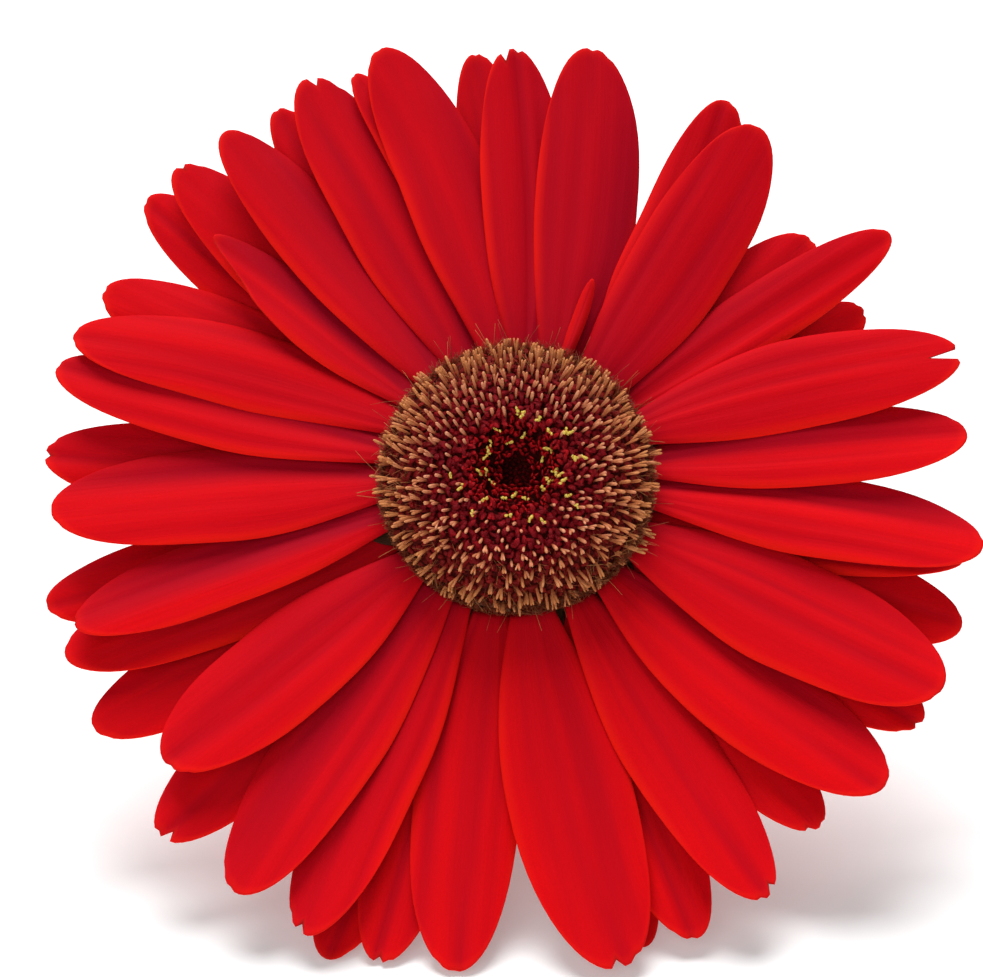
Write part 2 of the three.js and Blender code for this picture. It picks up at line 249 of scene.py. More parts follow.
# streaks that run the length of a petal, bract or stem; Grain is across, along and a seed, in mm
def buildStreaks():
    group, start, end = newGroup(
        "lengthwiseStreaks",
        [
            ("Grain", "NodeSocketVector", None),
            ("Lines", "NodeSocketFloat", 3.0),
            ("Length", "NodeSocketFloat", 12.0),
        ],
        [("Fine", "NodeSocketFloat"), ("Broad", "NodeSocketFloat")],
    )
    parts = group.nodes.new("ShaderNodeSeparateXYZ")
    group.links.new(start.outputs["Grain"], parts.inputs[0])
    seedStep = 7.3
    for label, lines in (("Fine", 1.0), ("Broad", 0.3)):
        place = group.nodes.new("ShaderNodeCombineXYZ")
        across = addMath(group, "MULTIPLY", parts.outputs[0], start.outputs["Lines"])
        group.links.new(addMath(group, "MULTIPLY", across, lines), place.inputs[0])
        along = addMath(group, "DIVIDE", parts.outputs[1], start.outputs["Length"])
        group.links.new(along, place.inputs[1])
        group.links.new(addMath(group, "MULTIPLY", parts.outputs[2], seedStep), place.inputs[2])
        noise = addNoise(group, place.outputs[0], 1.0, 3.0, 0.55)
        group.links.new(addSpread(group, noise, 0.28, 0.72), end.inputs[label])
    return group


# soft cloudy variation, in the piece's own space
def buildMottle():
    group, start, end = newGroup(
        "softMottle",
        [
            ("Size in mm", "NodeSocketFloat", 6.0),
            ("Low", "NodeSocketFloat", 0.35),
            ("High", "NodeSocketFloat", 0.65),
        ],
        [("Cloud", "NodeSocketFloat"), ("Speck", "NodeSocketFloat")],
    )
    place = group.nodes.new("ShaderNodeTexCoord")
    scale = addMath(group, "DIVIDE", 1 / mm, start.outputs["Size in mm"])
    finer = addMath(group, "MULTIPLY", scale, 9.0)
    cloud = addNoise(group, place.outputs["Object"], scale)
    speck = addNoise(group, place.outputs["Object"], finer, roughness=0.6)
    cloud = addSpread(group, cloud, start.outputs["Low"], start.outputs["High"])
    group.links.new(cloud, end.inputs["Cloud"])
    group.links.new(addSpread(group, speck, 0.3, 0.7), end.inputs["Speck"])
    return group


streakGroup = buildStreaks()
mottleGroup = buildMottle()


def useGroup(tree, group, **values):
    node = tree.nodes.new("ShaderNodeGroup")
    node.node_tree = group
    for label, value in values.items():
        socket = node.inputs[label.replace("_", " ")]
        if isinstance(value, bpy.types.NodeSocket):
            tree.links.new(value, socket)
        else:
            socket.default_value = value
    return node


def newMaterial(name, **settings):
    material = bpy.data.materials.new(name)
    material.use_nodes = True
    shader = material.node_tree.nodes["Principled BSDF"]
    for label, value in settings.items():
        shader.inputs[label.replace("_", " ")].default_value = value
    return material, material.node_tree, shader


def finishLook(tree, shader, colour, height=None, depth=0.0, strength=1.0):  # the depth is in mm
    tree.links.new(colour, shader.inputs["Base Color"])
    if height is None:
        return
    bump = tree.nodes.new("ShaderNodeBump")
    bump.inputs["Strength"].default_value = strength
    bump.inputs["Distance"].default_value = depth * mm
    tree.links.new(height, bump.inputs["Height"])
    tree.links.new(bump.outputs[0], shader.inputs["Normal"])


petalFinish = {
    "red": (0.84, 0.002, 0.0035, 1),
    "deepRed": (0.56, 0.0006, 0.004, 1),
    "crimson": (0.32, 0.001, 0.012, 1),
    # the colour of the painted highlight along the petal edges
    "rim": (0.95, 0.014, 0.004, 1),
    "underside": (0.6, 0.05, 0.035, 1),
    "undersideVein": (0.36, 0.012, 0.014, 1),
    "char": (0.035, 0.008, 0.006, 1),
    "linesPerMm": 3.2,
    "streakLength": 14.0,
    "cloudSize": 9.0,
    "fuzzSize": 2.7,
    "streakShare": 0.16,
    "valleyShadeShare": 0.58,
    "cloudShare": 0.14,
    "fuzzShare": 0.28,
    "rimHighlightShare": 0.7,
    "bump": 0.02,
}


def petalMaterial():
    material, tree, shader = newMaterial(
        "petalVelvet", Roughness=0.7, Specular_IOR_Level=0.05, Sheen_Weight=0.02, Sheen_Roughness=0.4,
        Sheen_Tint=(1, 0.08, 0.12, 1),
    )
    look = petalFinish
    streaks = useGroup(
        tree, streakGroup, Grain=addAttribute(tree, "grain", "Vector"), Lines=look["linesPerMm"],
        Length=look["streakLength"],
    )
    fine, broad = streaks.outputs["Fine"], streaks.outputs["Broad"]
    cloud = useGroup(tree, mottleGroup, Size_in_mm=look["cloudSize"])
    fuzz = useGroup(tree, mottleGroup, Size_in_mm=look["fuzzSize"])
    colour = addTint(tree, look["red"], fine, look["streakShare"], look["deepRed"])
    # painted shade: the grooves are darkened towards crimson
    colour = addTint(tree, colour, addAttribute(tree, "valley"), look["valleyShadeShare"], look["crimson"])
    colour = addTint(tree, colour, broad, look["streakShare"], look["crimson"])
    colour = addTint(tree, colour, cloud.outputs["Cloud"], look["cloudShare"], look["deepRed"])
    colour = addTint(tree, colour, fuzz.outputs["Speck"], look["fuzzShare"], look["deepRed"])
    # painted shade: this attribute darkens each petal towards crimson at its foot, on the side that faces
    # up and on the top petals, with a little random tone
    colour = addMix(tree, addAttribute(tree, "shadeAndTone"), colour, look["crimson"])
    # painted highlight: a brighter orange red along the petal edges
    colour = addTint(tree, colour, addAttribute(tree, "rim"), look["rimHighlightShare"], look["rim"])
    veins = addMath(tree, "MULTIPLY", fine, broad)
    back = addMix(tree, veins, look["underside"], look["undersideVein"])
    colour = addMix(tree, addAttribute(tree, "under"), colour, back)
    colour = addMix(tree, addAttribute(tree, "char"), colour, look["char"])
    height = addMath(tree, "ADD", fine, addMath(tree, "MULTIPLY", broad, 1.4))
    height = addMath(tree, "ADD", height, addMath(tree, "MULTIPLY", cloud.outputs["Speck"], 0.35))
    finishLook(tree, shader, colour, height, look["bump"], 0.8)
    return material


rodFinish = {
    "root": (0.24, 0.016, 0.008, 1),
    "middle": (0.52, 0.12, 0.045, 1),
    "tip": (0.88, 0.38, 0.21, 1),
    "old": (0.74, 0.31, 0.1, 1),
    "toneShare": 0.45,
    "speckShare": 0.25,
    "speckSize": 2.0,
    "bump": 0.08,
}


def rodMaterial():
    material, tree, shader = newMaterial("floretRods", Roughness=0.6, Specular_IOR_Level=0.15)
    look = rodFinish
    along = addAttribute(tree, "along")
    speck = useGroup(tree, mottleGroup, Size_in_mm=look["speckSize"]).outputs["Speck"]
    colour = addMix(tree, addSpread(tree, along, 0.05, 0.55), look["root"], look["middle"])
    tip = addMix(tree, addAttribute(tree, "age"), look["tip"], look["old"])
    colour = addMix(tree, addSpread(tree, along, 0.3, 0.8), colour, tip)
    colour = addTint(tree, colour, addAttribute(tree, "shadeAndTone"), look["toneShare"], look["middle"])
    colour = addTint(tree, colour, speck, look["speckShare"], look["middle"])
    finishLook(tree, shader, colour, speck, look["bump"])
    return material


corollaFinish = {
    "maroon": (0.17, 0.002, 0.006, 1),
    "crimson": (0.48, 0.006, 0.014, 1),
    "red": (0.68, 0.006, 0.008, 1),
    "brown": (0.22, 0.02, 0.006, 1),
    "speckShare": 0.4,
    "speckSize": 1.6,
    "bump": 0.1,
}


def corollaMaterial():
    material, tree, shader = newMaterial("corollaLobes", Roughness=0.45, Specular_IOR_Level=0.12)
    look = corollaFinish
    along = addAttribute(tree, "along")
    speck = useGroup(tree, mottleGroup, Size_in_mm=look["speckSize"]).outputs["Speck"]
    lit = addMath(tree, "MULTIPLY", along, addAttribute(tree, "shadeAndTone"))
    colour = addMix(tree, lit, look["maroon"], look["crimson"])
    fresh = addMath(tree, "MULTIPLY", addAttribute(tree, "fresh"), along)
    colour = addMix(tree, fresh, colour, look["red"])
    colour = addMix(tree, addAttribute(tree, "brown"), colour, look["brown"])
    colour = addTint(tree, colour, speck, look["speckShare"], look["maroon"])
    finishLook(tree, shader, colour, speck, look["bump"])
    return material


speckledFinish = {
    "discCore": {
        "dark": (0.04, 0.001, 0.001, 1), "light": (0.13, 0.005, 0.003, 1), "roughness": 0.8, "shine": 0.15,
        "size": 3.0, "bump": 0.3,
    },
    "pollenCrumbs": {
        "dark": (0.95, 0.6, 0.04, 1), "light": (1.0, 0.82, 0.2, 1), "roughness": 0.7, "shine": 0.2,
        "size": 1.2, "bump": 0.15,
    },
}


def speckledMaterial(name):
    look = speckledFinish[name]
    material, tree, shader = newMaterial(
        name, Roughness=look["roughness"], Specular_IOR_Level=look["shine"]
    )
    speck = useGroup(tree, mottleGroup, Size_in_mm=look["size"]).outputs["Speck"]
    finishLook(tree, shader, addMix(tree, speck, look["dark"], look["light"]), speck, look["bump"])
    return material


hairFinish = {
    "pappusHair": {
        "root": (0.13, 0.009, 0.004, 1), "tip": (0.34, 0.06, 0.014, 1), "straw": (0.56, 0.25, 0.08, 1),
    },
    "stemHair": {"root": (0.3, 0.38, 0.16, 1), "tip": (0.72, 0.74, 0.6, 1)},
}


def hairMaterial(name):
    look = hairFinish[name]
    material, tree, shader = newMaterial(name, Roughness=0.5, Specular_IOR_Level=0.3)
    colour = addMix(tree, addAttribute(tree, "along"), look["root"], look["tip"])
    if "straw" in look:
        colour = addMix(tree, addAttribute(tree, "shadeAndTone"), colour, look["straw"])
    finishLook(tree, shader, colour)
    return material


greenFinish = {
    "bract": (0.16, 0.26, 0.06, 1),
    "bractDark": (0.06, 0.13, 0.025, 1),
    "bractTip": (0.2, 0.045, 0.03, 1),
    "stem": (0.27, 0.4, 0.1, 1),
    "stemDark": (0.13, 0.24, 0.045, 1),
    "stemBlush": (0.15, 0.03, 0.012, 1),
    "midribShare": 0.6,
    "cloudShare": 0.3,
    "blushShare": 0.6,
}


def bractMaterial():
    material, tree, shader = newMaterial(
        "bractGreen", Roughness=0.6, Specular_IOR_Level=0.25, Sheen_Weight=0.12, Sheen_Roughness=0.5
    )
    look = greenFinish
    grain = addAttribute(tree, "grain", "Vector")
    fine = useGroup(tree, streakGroup, Grain=grain, Lines=4.0, Length=9.0).outputs["Fine"]
    colour = addMix(tree, fine, look["bract"], look["bractDark"])
    colour = addTint(tree, colour, addAttribute(tree, "valley"), look["midribShare"], look["bractDark"])
    colour = addMix(tree, addSpread(tree, addAttribute(tree, "along"), 0.72, 1.0), colour, look["bractTip"])
    finishLook(tree, shader, colour, fine, 0.12)
    return material


chaffFinish = {
    "olive": (0.07, 0.045, 0.014, 1),
    "dark": (0.035, 0.018, 0.007, 1),
    "tip": (0.07, 0.02, 0.01, 1),
}


def chaffMaterial():
    material, tree, shader = newMaterial("chaffBrown", Roughness=0.7, Specular_IOR_Level=0.15)
    look = chaffFinish
    grain = addAttribute(tree, "grain", "Vector")
    fine = useGroup(tree, streakGroup, Grain=grain, Lines=4.0, Length=6.0).outputs["Fine"]
    colour = addMix(tree, fine, look["olive"], look["dark"])
    colour = addMix(tree, addSpread(tree, addAttribute(tree, "along"), 0.3, 1.0), colour, look["tip"])
    finishLook(tree, shader, colour, fine, 0.1)
    return material


def stemMaterial():
    material, tree, shader = newMaterial(
        "scapeGreen", Roughness=0.55, Specular_IOR_Level=0.3, Sheen_Weight=0.15, Sheen_Roughness=0.5
    )
    look = greenFinish
    grain = addAttribute(tree, "grain", "Vector")
    streaks = useGroup(tree, streakGroup, Grain=grain, Lines=2.2, Length=26.0)
    fine, broad = streaks.outputs["Fine"], streaks.outputs["Broad"]
    cloud = useGroup(tree, mottleGroup, Size_in_mm=14.0).outputs["Cloud"]
    colour = addMix(tree, fine, look["stem"], look["stemDark"])
    colour = addTint(tree, colour, cloud, look["cloudShare"], look["stemDark"])
    colour = addTint(tree, colour, addAttribute(tree, "blush"), look["blushShare"], look["stemBlush"])
    finishLook(tree, shader, colour, addMath(tree, "ADD", fine, broad), 0.1)
    return material


pithFinish = {
    "middle": (0.62, 0.66, 0.4, 1),
    "skin": (0.22, 0.33, 0.09, 1),
    "dull": (0.4, 0.4, 0.2, 1),
    "dullShare": 0.5,
}


def pithMaterial():
    material, tree, shader = newMaterial("cutPith", Roughness=0.45, Specular_IOR_Level=0.35)
    look = pithFinish
    speck = useGroup(tree, mottleGroup, Size_in_mm=1.5).outputs["Speck"]
    colour = addMix(tree, addAttribute(tree, "along"), look["middle"], look["skin"])
    colour = addTint(tree, colour, speck, look["dullShare"], look["dull"])
    finishLook(tree, shader, colour, speck, 0.15)
    return material


petalVelvet = petalMaterial()
floretRods = rodMaterial()
corollaLobes = corollaMaterial()
discCore = speckledMaterial("discCore")
pollenCrumbs = speckledMaterial("pollenCrumbs")
pappusHair = hairMaterial("pappusHair")
bractGreen = bractMaterial()
chaffBrown = chaffMaterial()
scapeGreen = stemMaterial()
cutPith = pithMaterial()
stemHair = hairMaterial("stemHair")
print("materials made")


# petals: each follows the middle surface and the outline of its frame piece; lengths are in mm, and
# places and breadths are shares of the petal's length or of its half width
petalForm = {
    "rows": 58,
    "columns": 30,
    "thickness": 0.34,
    "widest": 0.5,
    "tipRoundness": 2.6,
    "grooveDepth": 0.42,
    "edgeRoll": 0.35,
    "wave": 0.2,
    "crown": 0.4,
    "pinch": 0.9,
    "blunt": 0.985,
    "broader": 1.025,
    "claw": 1.35,
    "rowBias": 1.45,
    "smallWidth": 6.0,
    "ripple": 0.014,
    "toothWidth": 0.07,
    "grooves": [-0.58, -0.18, 0.2, 0.58],
    "grooveShift": 0.14,
    "grooveBreadth": (0.09, 0.22),
    "rimHighlightWidth": 1.3,
    "roundedEdge": 0.45,
}

# what sets single petals apart: fold is a lengthwise channel in mm and at is its share of the half
# width, upwardShade is how much painted shade darkens the side that faces up and edge is where that
# begins, shift moves the tip sideways in mm, girth and claw widen the blade and the foot, a lower round
# makes the tip more pointed, and a tooth is its place, its depth in mm and its width
petalTraits = {
    "ray_02": {"fold": 0.5, "at": 0.1, "upwardShade": 0.3},
    "ray_04": {"fold": 0.4, "at": 0.2, "upwardShade": 0.3, "edge": 0.1},
    "ray_06": {"fold": 0.6, "at": 0.3, "upwardShade": 0.45, "edge": 0.25},
    "ray_08": {"fold": 0.5, "at": 0.2, "upwardShade": 0.45, "edge": 0.15},
    "ray_11": {
        "fold": 0.8, "at": 0.0, "upwardShade": 0.7, "edge": 0.0, "round": 1.35, "teeth": [(-0.5, 3.4, 0.3)],
    },
    "ray_12": {"shift": -0.5},
    "ray_13": {"upwardShade": 0.25, "edge": 0.45, "shift": -0.4},
    "ray_14": {"fold": 0.7, "at": 0.0, "upwardShade": 0.8, "edge": -0.05},
    "ray_15": {"shift": -0.7},
    "ray_16": {"fold": 0.5, "at": 0.3, "upwardShade": 0.6, "edge": 0.25},
    "ray_17": {"shift": -0.8},
    "ray_18": {"fold": 0.6, "at": 0.2, "upwardShade": 0.75, "edge": -0.3},
    "ray_20": {"shift": 0.8},
    "ray_21": {"fold": 0.6, "at": -0.1, "upwardShade": 0.35, "edge": 0.0},
    "ray_23": {"fold": 0.7, "at": -0.1, "upwardShade": 0.4, "edge": -0.1},
    "ray_24": {"fold": 0.7, "at": 0.1, "upwardShade": 0.7, "edge": -0.1},
    "ray_27": {"fold": 0.6, "at": 0.35, "upwardShade": 0.3, "shift": -0.8},
    "ray_28": {"upwardShade": 0.2, "edge": 0.2, "shift": -0.7},
    "ray_31": {"fold": 0.5, "at": -0.3, "upwardShade": 0.45, "edge": 0.3, "shift": -0.9},
    "ray_33": {"fold": 0.5, "at": -0.3, "upwardShade": 0.45, "edge": 0.25, "shift": -0.8},
    "ray_35": {"fold": 0.5, "at": -0.5, "upwardShade": 0.25, "edge": 0.4},
    "ray_37": {"fold": 0.8, "at": -0.3, "upwardShade": 0.75, "edge": 0.2, "shift": 0.7},
    "ray_39": {"fold": 0.8, "at": 0.1, "upwardShade": 0.7, "edge": -0.05},
    "ray_40": {"fold": 0.3, "at": -0.3, "upwardShade": 0.2, "edge": 0.3, "teeth": [(0.0, 3.8, 0.07)]},
    "ray_42": {"fold": 0.7, "at": 0.1, "upwardShade": 0.5, "edge": 0.1},
    "ray_44": {"fold": 0.4, "at": 0.1, "upwardShade": 0.35, "claw": 2.0},
    "ray_45": {"claw": 2.0, "shift": -1.1, "girth": 1.06},
    "ray_late": {"girth": 0.5, "upwardShade": 0.3},
}


def middleHeight(segments, offset):
    low, high = segments[..., 0].min(axis=1), segments[..., 0].max(axis=1)
    hit = segments[(low <= offset) & (high >= offset) & (high - low > 1e-9)]
    if not len(hit):
        return np.nan
    share = (offset - hit[:, 0, 0]) / (hit[:, 1, 0] - hit[:, 0, 0])
    heights = hit[:, 0, 1] + share * (hit[:, 1, 1] - hit[:, 0, 1])
    return (heights.max() + heights.min()) / 2


# what a petal takes from its frame piece: where it lies, its width and its heights, along its length
def measurePetal(name):
    triangles = toHead(trianglesOf(name))
    corners = triangles.reshape(-1, 3)[:, :2]
    direction = np.linalg.svd(corners - corners.mean(axis=0), full_matrices=False)[2][0]
    direction = direction * np.sign(direction @ corners.mean(axis=0))
    across = np.array([direction[1], -direction[0]])
    reach = corners @ direction
    start, end = reach.min(), reach.max()
    shares = np.linspace(0.04, 0.95, 26)
    probe, probeSquare = 0.85, 0.7225  # heights are read in the middle and near both edges
    rows = []
    for share in shares:
        point = np.append(direction * (start + (end - start) * share), 0)
        cut = cutAcross(triangles, point, np.append(direction, 0))
        cut = np.stack([cut[..., :2] @ across, cut[..., 2]], -1)
        left, right = cut[..., 0].min(), cut[..., 0].max()
        middle, half = (left + right) / 2, (right - left) / 2
        heights = [middleHeight(cut, middle + half * s) for s in (-probe, 0, probe)]
        rows.append([share, middle, 2 * half, *heights])
    rows = np.array(rows)
    good = rows[~np.isnan(rows).any(axis=1)]
    share, width = good[:, 0], rows[:, 2]
    slope = (good[:, 5] - good[:, 3]) / (2 * probe)
    bend = ((good[:, 5] + good[:, 3]) / 2 - good[:, 4]) / probeSquare
    blade = width.max()
    spread = 0.125  # how much of its full width the blade has gained at the first row
    claw = (width[0] - spread * blade) / (1 - spread)
    middle = np.polyfit(share, good[:, 1], 3)
    tipPoint = np.append(across * np.polyval(middle, 1), 0)
    centre = cutAcross(triangles, tipPoint, np.append(across, 0))
    notch = end - (centre[..., :2] @ direction).max() if len(centre) else 0
    return {
        "direction": direction, "across": across, "start": start, "end": end,
        "middle": middle, "blade": blade, "claw": claw,
        "height": np.polyfit(share, good[:, 4], 4), "slope": np.polyfit(share, slope, 3),
        "bend": np.polyfit(share, bend, 2), "notch": max(0.0, notch - 0.2),
    }


def petalGrid(rows, columns):  # closer rows at the tip and closer columns at the edges
    v = np.linspace(0, 1, rows + 1)
    along = 1 - (1 - v) ** petalForm["rowBias"]
    side = np.sin(np.linspace(-1, 1, columns + 1) * np.pi / 2)
    return np.meshgrid(along, side, indexing="ij")


def makePetal(name, order):
    facts = measurePetal(name)
    form = petalForm
    traits = petalTraits.get(name, {})
    chance = np.random.default_rng(1000 + order)
    small = facts["blade"] < form["smallWidth"]
    rows, columns = form["rows"], form["columns"]
    share, side = petalGrid(rows, columns)
    # the outline: a full blade, a rounded tip and its teeth
    apex = chance.uniform(-0.12, 0.12)
    roundness = traits.get("round", form["tipRoundness"])
    ending = form["widest"] + (1 - form["widest"]) * (1 - side**2) ** (1 / roundness)
    length = (facts["end"] - facts["start"]) / form["blunt"]  # the frame's tips are cut a little short

    notch = facts["notch"]
    teeth = traits.get("teeth")
    if teeth is None:
        place = chance.uniform(-0.18, 0.18)
        teeth = [(place, notch, form["toothWidth"])] if notch > 0.05 else []
        teeth.append((place + chance.choice([-0.3, 0.3]), 0.15 + 0.2 * notch, 0.06))
    columnAt = [side[0][np.argmin(np.abs(side[0] - tooth[0]))] for tooth in teeth]
    cutBack = sum(tooth[1] * bell(side, place, tooth[2]) for place, tooth in zip(columnAt, teeth))
    ending = ending - cutBack / length
    u = share * ending
    rise = np.sin(np.pi / 2 * np.minimum(u, form["widest"]) / form["widest"])
    claw = facts["claw"] * traits.get("claw", form["claw"])
    half = (claw + (facts["blade"] * form["broader"] * traits.get("girth", 1.0) - claw) * rise) / 2
    ripple = np.sin(u * chance.uniform(10, 16) + chance.uniform(0, 6) + 2 * np.sign(side))
    half = half * (1 + form["ripple"] * ripple)
    offset = side * half
    nearTip = np.maximum(0, u - form["widest"]) / (1 - form["widest"])
    local = half * np.maximum(0.72, np.sqrt(np.maximum(0, 1 - nearTip ** form["tipRoundness"])))
    s = offset / local
    height = np.polyval(facts["height"], u) + np.polyval(facts["slope"], u) * s
    height = height + np.polyval(facts["bend"], u) * s**2

    # the surface: grooves, a pinched tip, rolled edges, a fold and a slow wave
    grooves = np.array(form["grooves"]) + chance.uniform(-form["grooveShift"], form["grooveShift"], 4)
    strength = chance.uniform(0.3, 1.0, 4) ** 1.6
    breadth = chance.uniform(*form["grooveBreadth"], 4)
    body = np.sin(np.pi * np.clip(u * 0.93 + 0.05, 0, 1)) ** 0.6
    relief = sum(-k * bell(side, g, w) for g, k, w in zip(grooves, strength, breadth)) * body
    pinch = bell(side, apex * u**2, 0.13) * bell(u, 1.0, 0.22) * chance.uniform(0.15, 1) * (1 - small)
    relief = relief - form["pinch"] * pinch
    height = height + form["crown"] * (0.4 - side**2) * body
    depth = form["grooveDepth"] * (0.35 if small else 1)
    fold = traits.get("fold", 0.0)
    crease = traits.get("at", 0.0)
    height = height + depth * relief - form["edgeRoll"] * np.abs(side) ** 5 * body
    height = height + fold * (1 - 2 * np.exp(-np.abs(side - crease) / 0.7)) * body * 0.6
    wave = form["wave"] * np.sin(2 * np.pi * (u * chance.uniform(0.9, 1.5) + chance.uniform(0, 1)))
    height = height + wave * side * body

    # a tip that would dip into the table is bent up to lie on it
    centre = facts["start"] + length * u
    bow = np.polyval(facts["middle"], u) + traits.get("shift", 0) * u**2
    spot = facts["direction"] * centre[..., None] + facts["across"] * (bow + offset)[..., None]
    level = toRow(np.dstack([spot, height]))[..., 2] / mm - form["thickness"] / 2
    short = np.maximum(0, 0.03 - level) / headAxis[2]
    if short.max() > 0:
        height = height + short.max() * np.clip((u - 0.35) / 0.65, 0, 1) ** 2

    edge = np.minimum(1 - np.abs(side), (1 - share) * ending * length / half)
    inward = np.clip(edge * half / form["roundedEdge"], 0, 1)
    thick = form["thickness"] * (1 + 0.9 * (1 - u) ** 4) / 2 * np.sqrt(1 - (1 - inward) ** 2)
    thick = np.where(share <= 0, 0, thick)

    top = np.dstack([spot, height + thick])
    under = np.dstack([spot, height - thick])
    number = np.arange((rows + 1) * (columns + 1)).reshape(rows + 1, columns + 1)
    inner = np.zeros_like(number, bool)
    inner[1:-1, 1:-1] = True
    lower = number.copy()
    lower[inner] = number.size + np.arange(inner.sum())
    points = np.vstack([top.reshape(-1, 3), under[inner]])

    faces = gridFaces(number, True) + gridFaces(lower)

    def both(value):
        return np.concatenate([value.ravel(), value[inner]])

    # what the material reads: the side that faces up is darker and so is the foot, both painted shade, and
    # the edges carry a painted highlight
    # painted highlight along the edges of the petal
    rim = np.clip(1 - edge * half / form["rimHighlightWidth"], 0, 1) * np.clip(u * 3, 0, 1)
    darkTip = np.clip(1 - (1 - share) * length / 0.9, 0, 1) * np.clip(cutBack / 0.5 - 0.4, 0, 1)
    tipAngle = math.degrees(math.atan2(facts["direction"][0], facts["direction"][1]))
    # painted shade: the foot near the disc is darker, and the petals at the head's top are darker, partly
    # painted shade where they face away from the light and partly their own deeper red
    clawShade = 0.3 * np.exp(-u / 0.12) + 0.22 * np.exp(-u / 0.4) + 0.36 * bell(tipAngle, 0, 52)
    grain = np.stack([both(side * facts["blade"] / 2), both(centre), np.full(len(points), order * 1.7)], -1)
    upward = side * (facts["across"][1] + 0.5 * max(0, facts["direction"][1]))
    # the painted highlight is strongest on the lower edge and weakest on the edge on the side that faces up
    rim = rim * (0.55 + 0.45 * np.clip(-upward * 2, -1, 1))
    # painted shade on the side that faces up, partly the petal's own crimson colour
    step = np.clip((upward - traits.get("edge", 0.1) + 0.25) / 0.6, 0, 1)
    upwardShade = traits.get("upwardShade", chance.uniform(0.2, 0.55)) * step**2 * (3 - 2 * step)
    upwardShade = upwardShade * np.clip(1.5 - u, 0, 1)
    values = {
        "grain": grain,
        # painted shade in the grooves, deepest where the relief is deepest
        "valley": both(np.clip(-relief * 1.1, 0, 1)),
        "rim": both(rim),
        "char": both(darkTip * chance.uniform(0.3, 0.9)),
        "shadeAndTone": both(np.clip(clawShade + upwardShade + chance.uniform(0, 0.1), 0, 0.95)),
        "under": np.concatenate([np.zeros(number.size), np.full(inner.sum(), 0.75)]),
    }
    makePiece(name.replace("ray", "petal"), points, faces, values, petalVelvet, [name])


rayNames = sorted(n for n in nodes if n.startswith("ray_"))
for order, name in enumerate(rayNames):
    makePetal(name, order)
print("petals made:", len(rayNames))


# the disc: its crown is read from the frame's three disc pieces
def crownProfile():
    ring, floor = 0.75, 3.2
    pairs = []
    for name in ("disc_buds", "disc_middle", "disc_outer"):
        corners = toHead(cornersOf(name))
        radius = np.hypot(corners[:, 0], corners[:, 1])
        for low in np.arange(0, 18, ring):
            inside = corners[(radius >= low) & (radius < low + ring)]
            if len(inside) and inside[:, 2].max() > floor:
                pairs.append((low + ring / 2, inside[:, 2].max()))
    pairs = np.array(sorted(pairs))
    return pairs[:, 0], pairs[:, 1]


crownRadius, crownHeight = crownProfile()
discReach = max(np.hypot(*toHead(cornersOf("disc_outer"))[:, :2].T))


def crown(radius):
    return np.interp(radius, crownRadius, crownHeight) - 0.3


# lengths in mm and leans in degrees; missing and parted are shares of the rods, and ragged is the rim's
# broad waves, fine waves and scatter
discForm = {
    "florets": 600,
    "reach": discReach - 0.9,
    "holeRadius": 2.3,
    "budZone": 6.4,
    "rodLength": 3.3,
    "rodRadius": 0.215,
    "leanIn": 16,
    "leanOut": 60,
    "lobeLength": 1.25,
    "lobeRadius": 0.3,
    "lips": 4,
    "budRadius": 0.24,
    "buds": 60,
    "fringe": 115,
    "fringeDrop": 2.1,
    "missing": 0.04,
    "ragged": (0.4, 0.3, 0.3),
    "tuft": 0.55,
    "parted": 0.55,
}


def wobble(count, amount):
    return rng.normal(0, amount, count)


def floretPlaces():
    form = discForm
    k = np.arange(form["florets"]) + 0.5
    radius = form["reach"] * np.sqrt(k / form["florets"]) + wobble(len(k), 0.13)
    angle = k * goldenTurn + wobble(len(k), 0.12) / np.maximum(radius, 1)
    return np.abs(radius), angle


floretRadius, floretAngle = floretPlaces()


def coreHeight(radius):
    sink = 2.6 * np.exp(-((radius / (0.75 * discForm["holeRadius"])) ** 4))
    level = crown(radius) - 1.9 - sink * 0.4 - 0.9 * np.clip((radius - 13) / 4, 0, 1)
    return np.maximum(level, 2.75)


def makeCore():
    rings, turns = 26, 96
    radius = np.linspace(0.02, discReach - 1.2, rings)
    angle = np.linspace(0, 2 * np.pi, turns, endpoint=False)
    top = polar(angle[None], radius[:, None], coreHeight(radius)[:, None] + 0 * angle[None])
    top[..., 2] += rng.normal(0, 0.12, top.shape[:2])
    bottomRadius = radius[::-1] * 0.97
    base = toHead(cornersOf("disc_outer"))[:, 2].min() + 0.15
    bottom = polar(angle[None], bottomRadius[:, None], np.full((rings, 1), base) + 0 * angle[None])
    bottom[..., 2] += 0.35 * (1 - bottomRadius[:, None] / discReach)
    points = np.concatenate([top, bottom]).reshape(-1, 3)
    faces = bandFaces(2 * rings, turns)
    makePiece("disc_core", points, faces, {}, discCore, ["disc_middle", "disc_buds"])


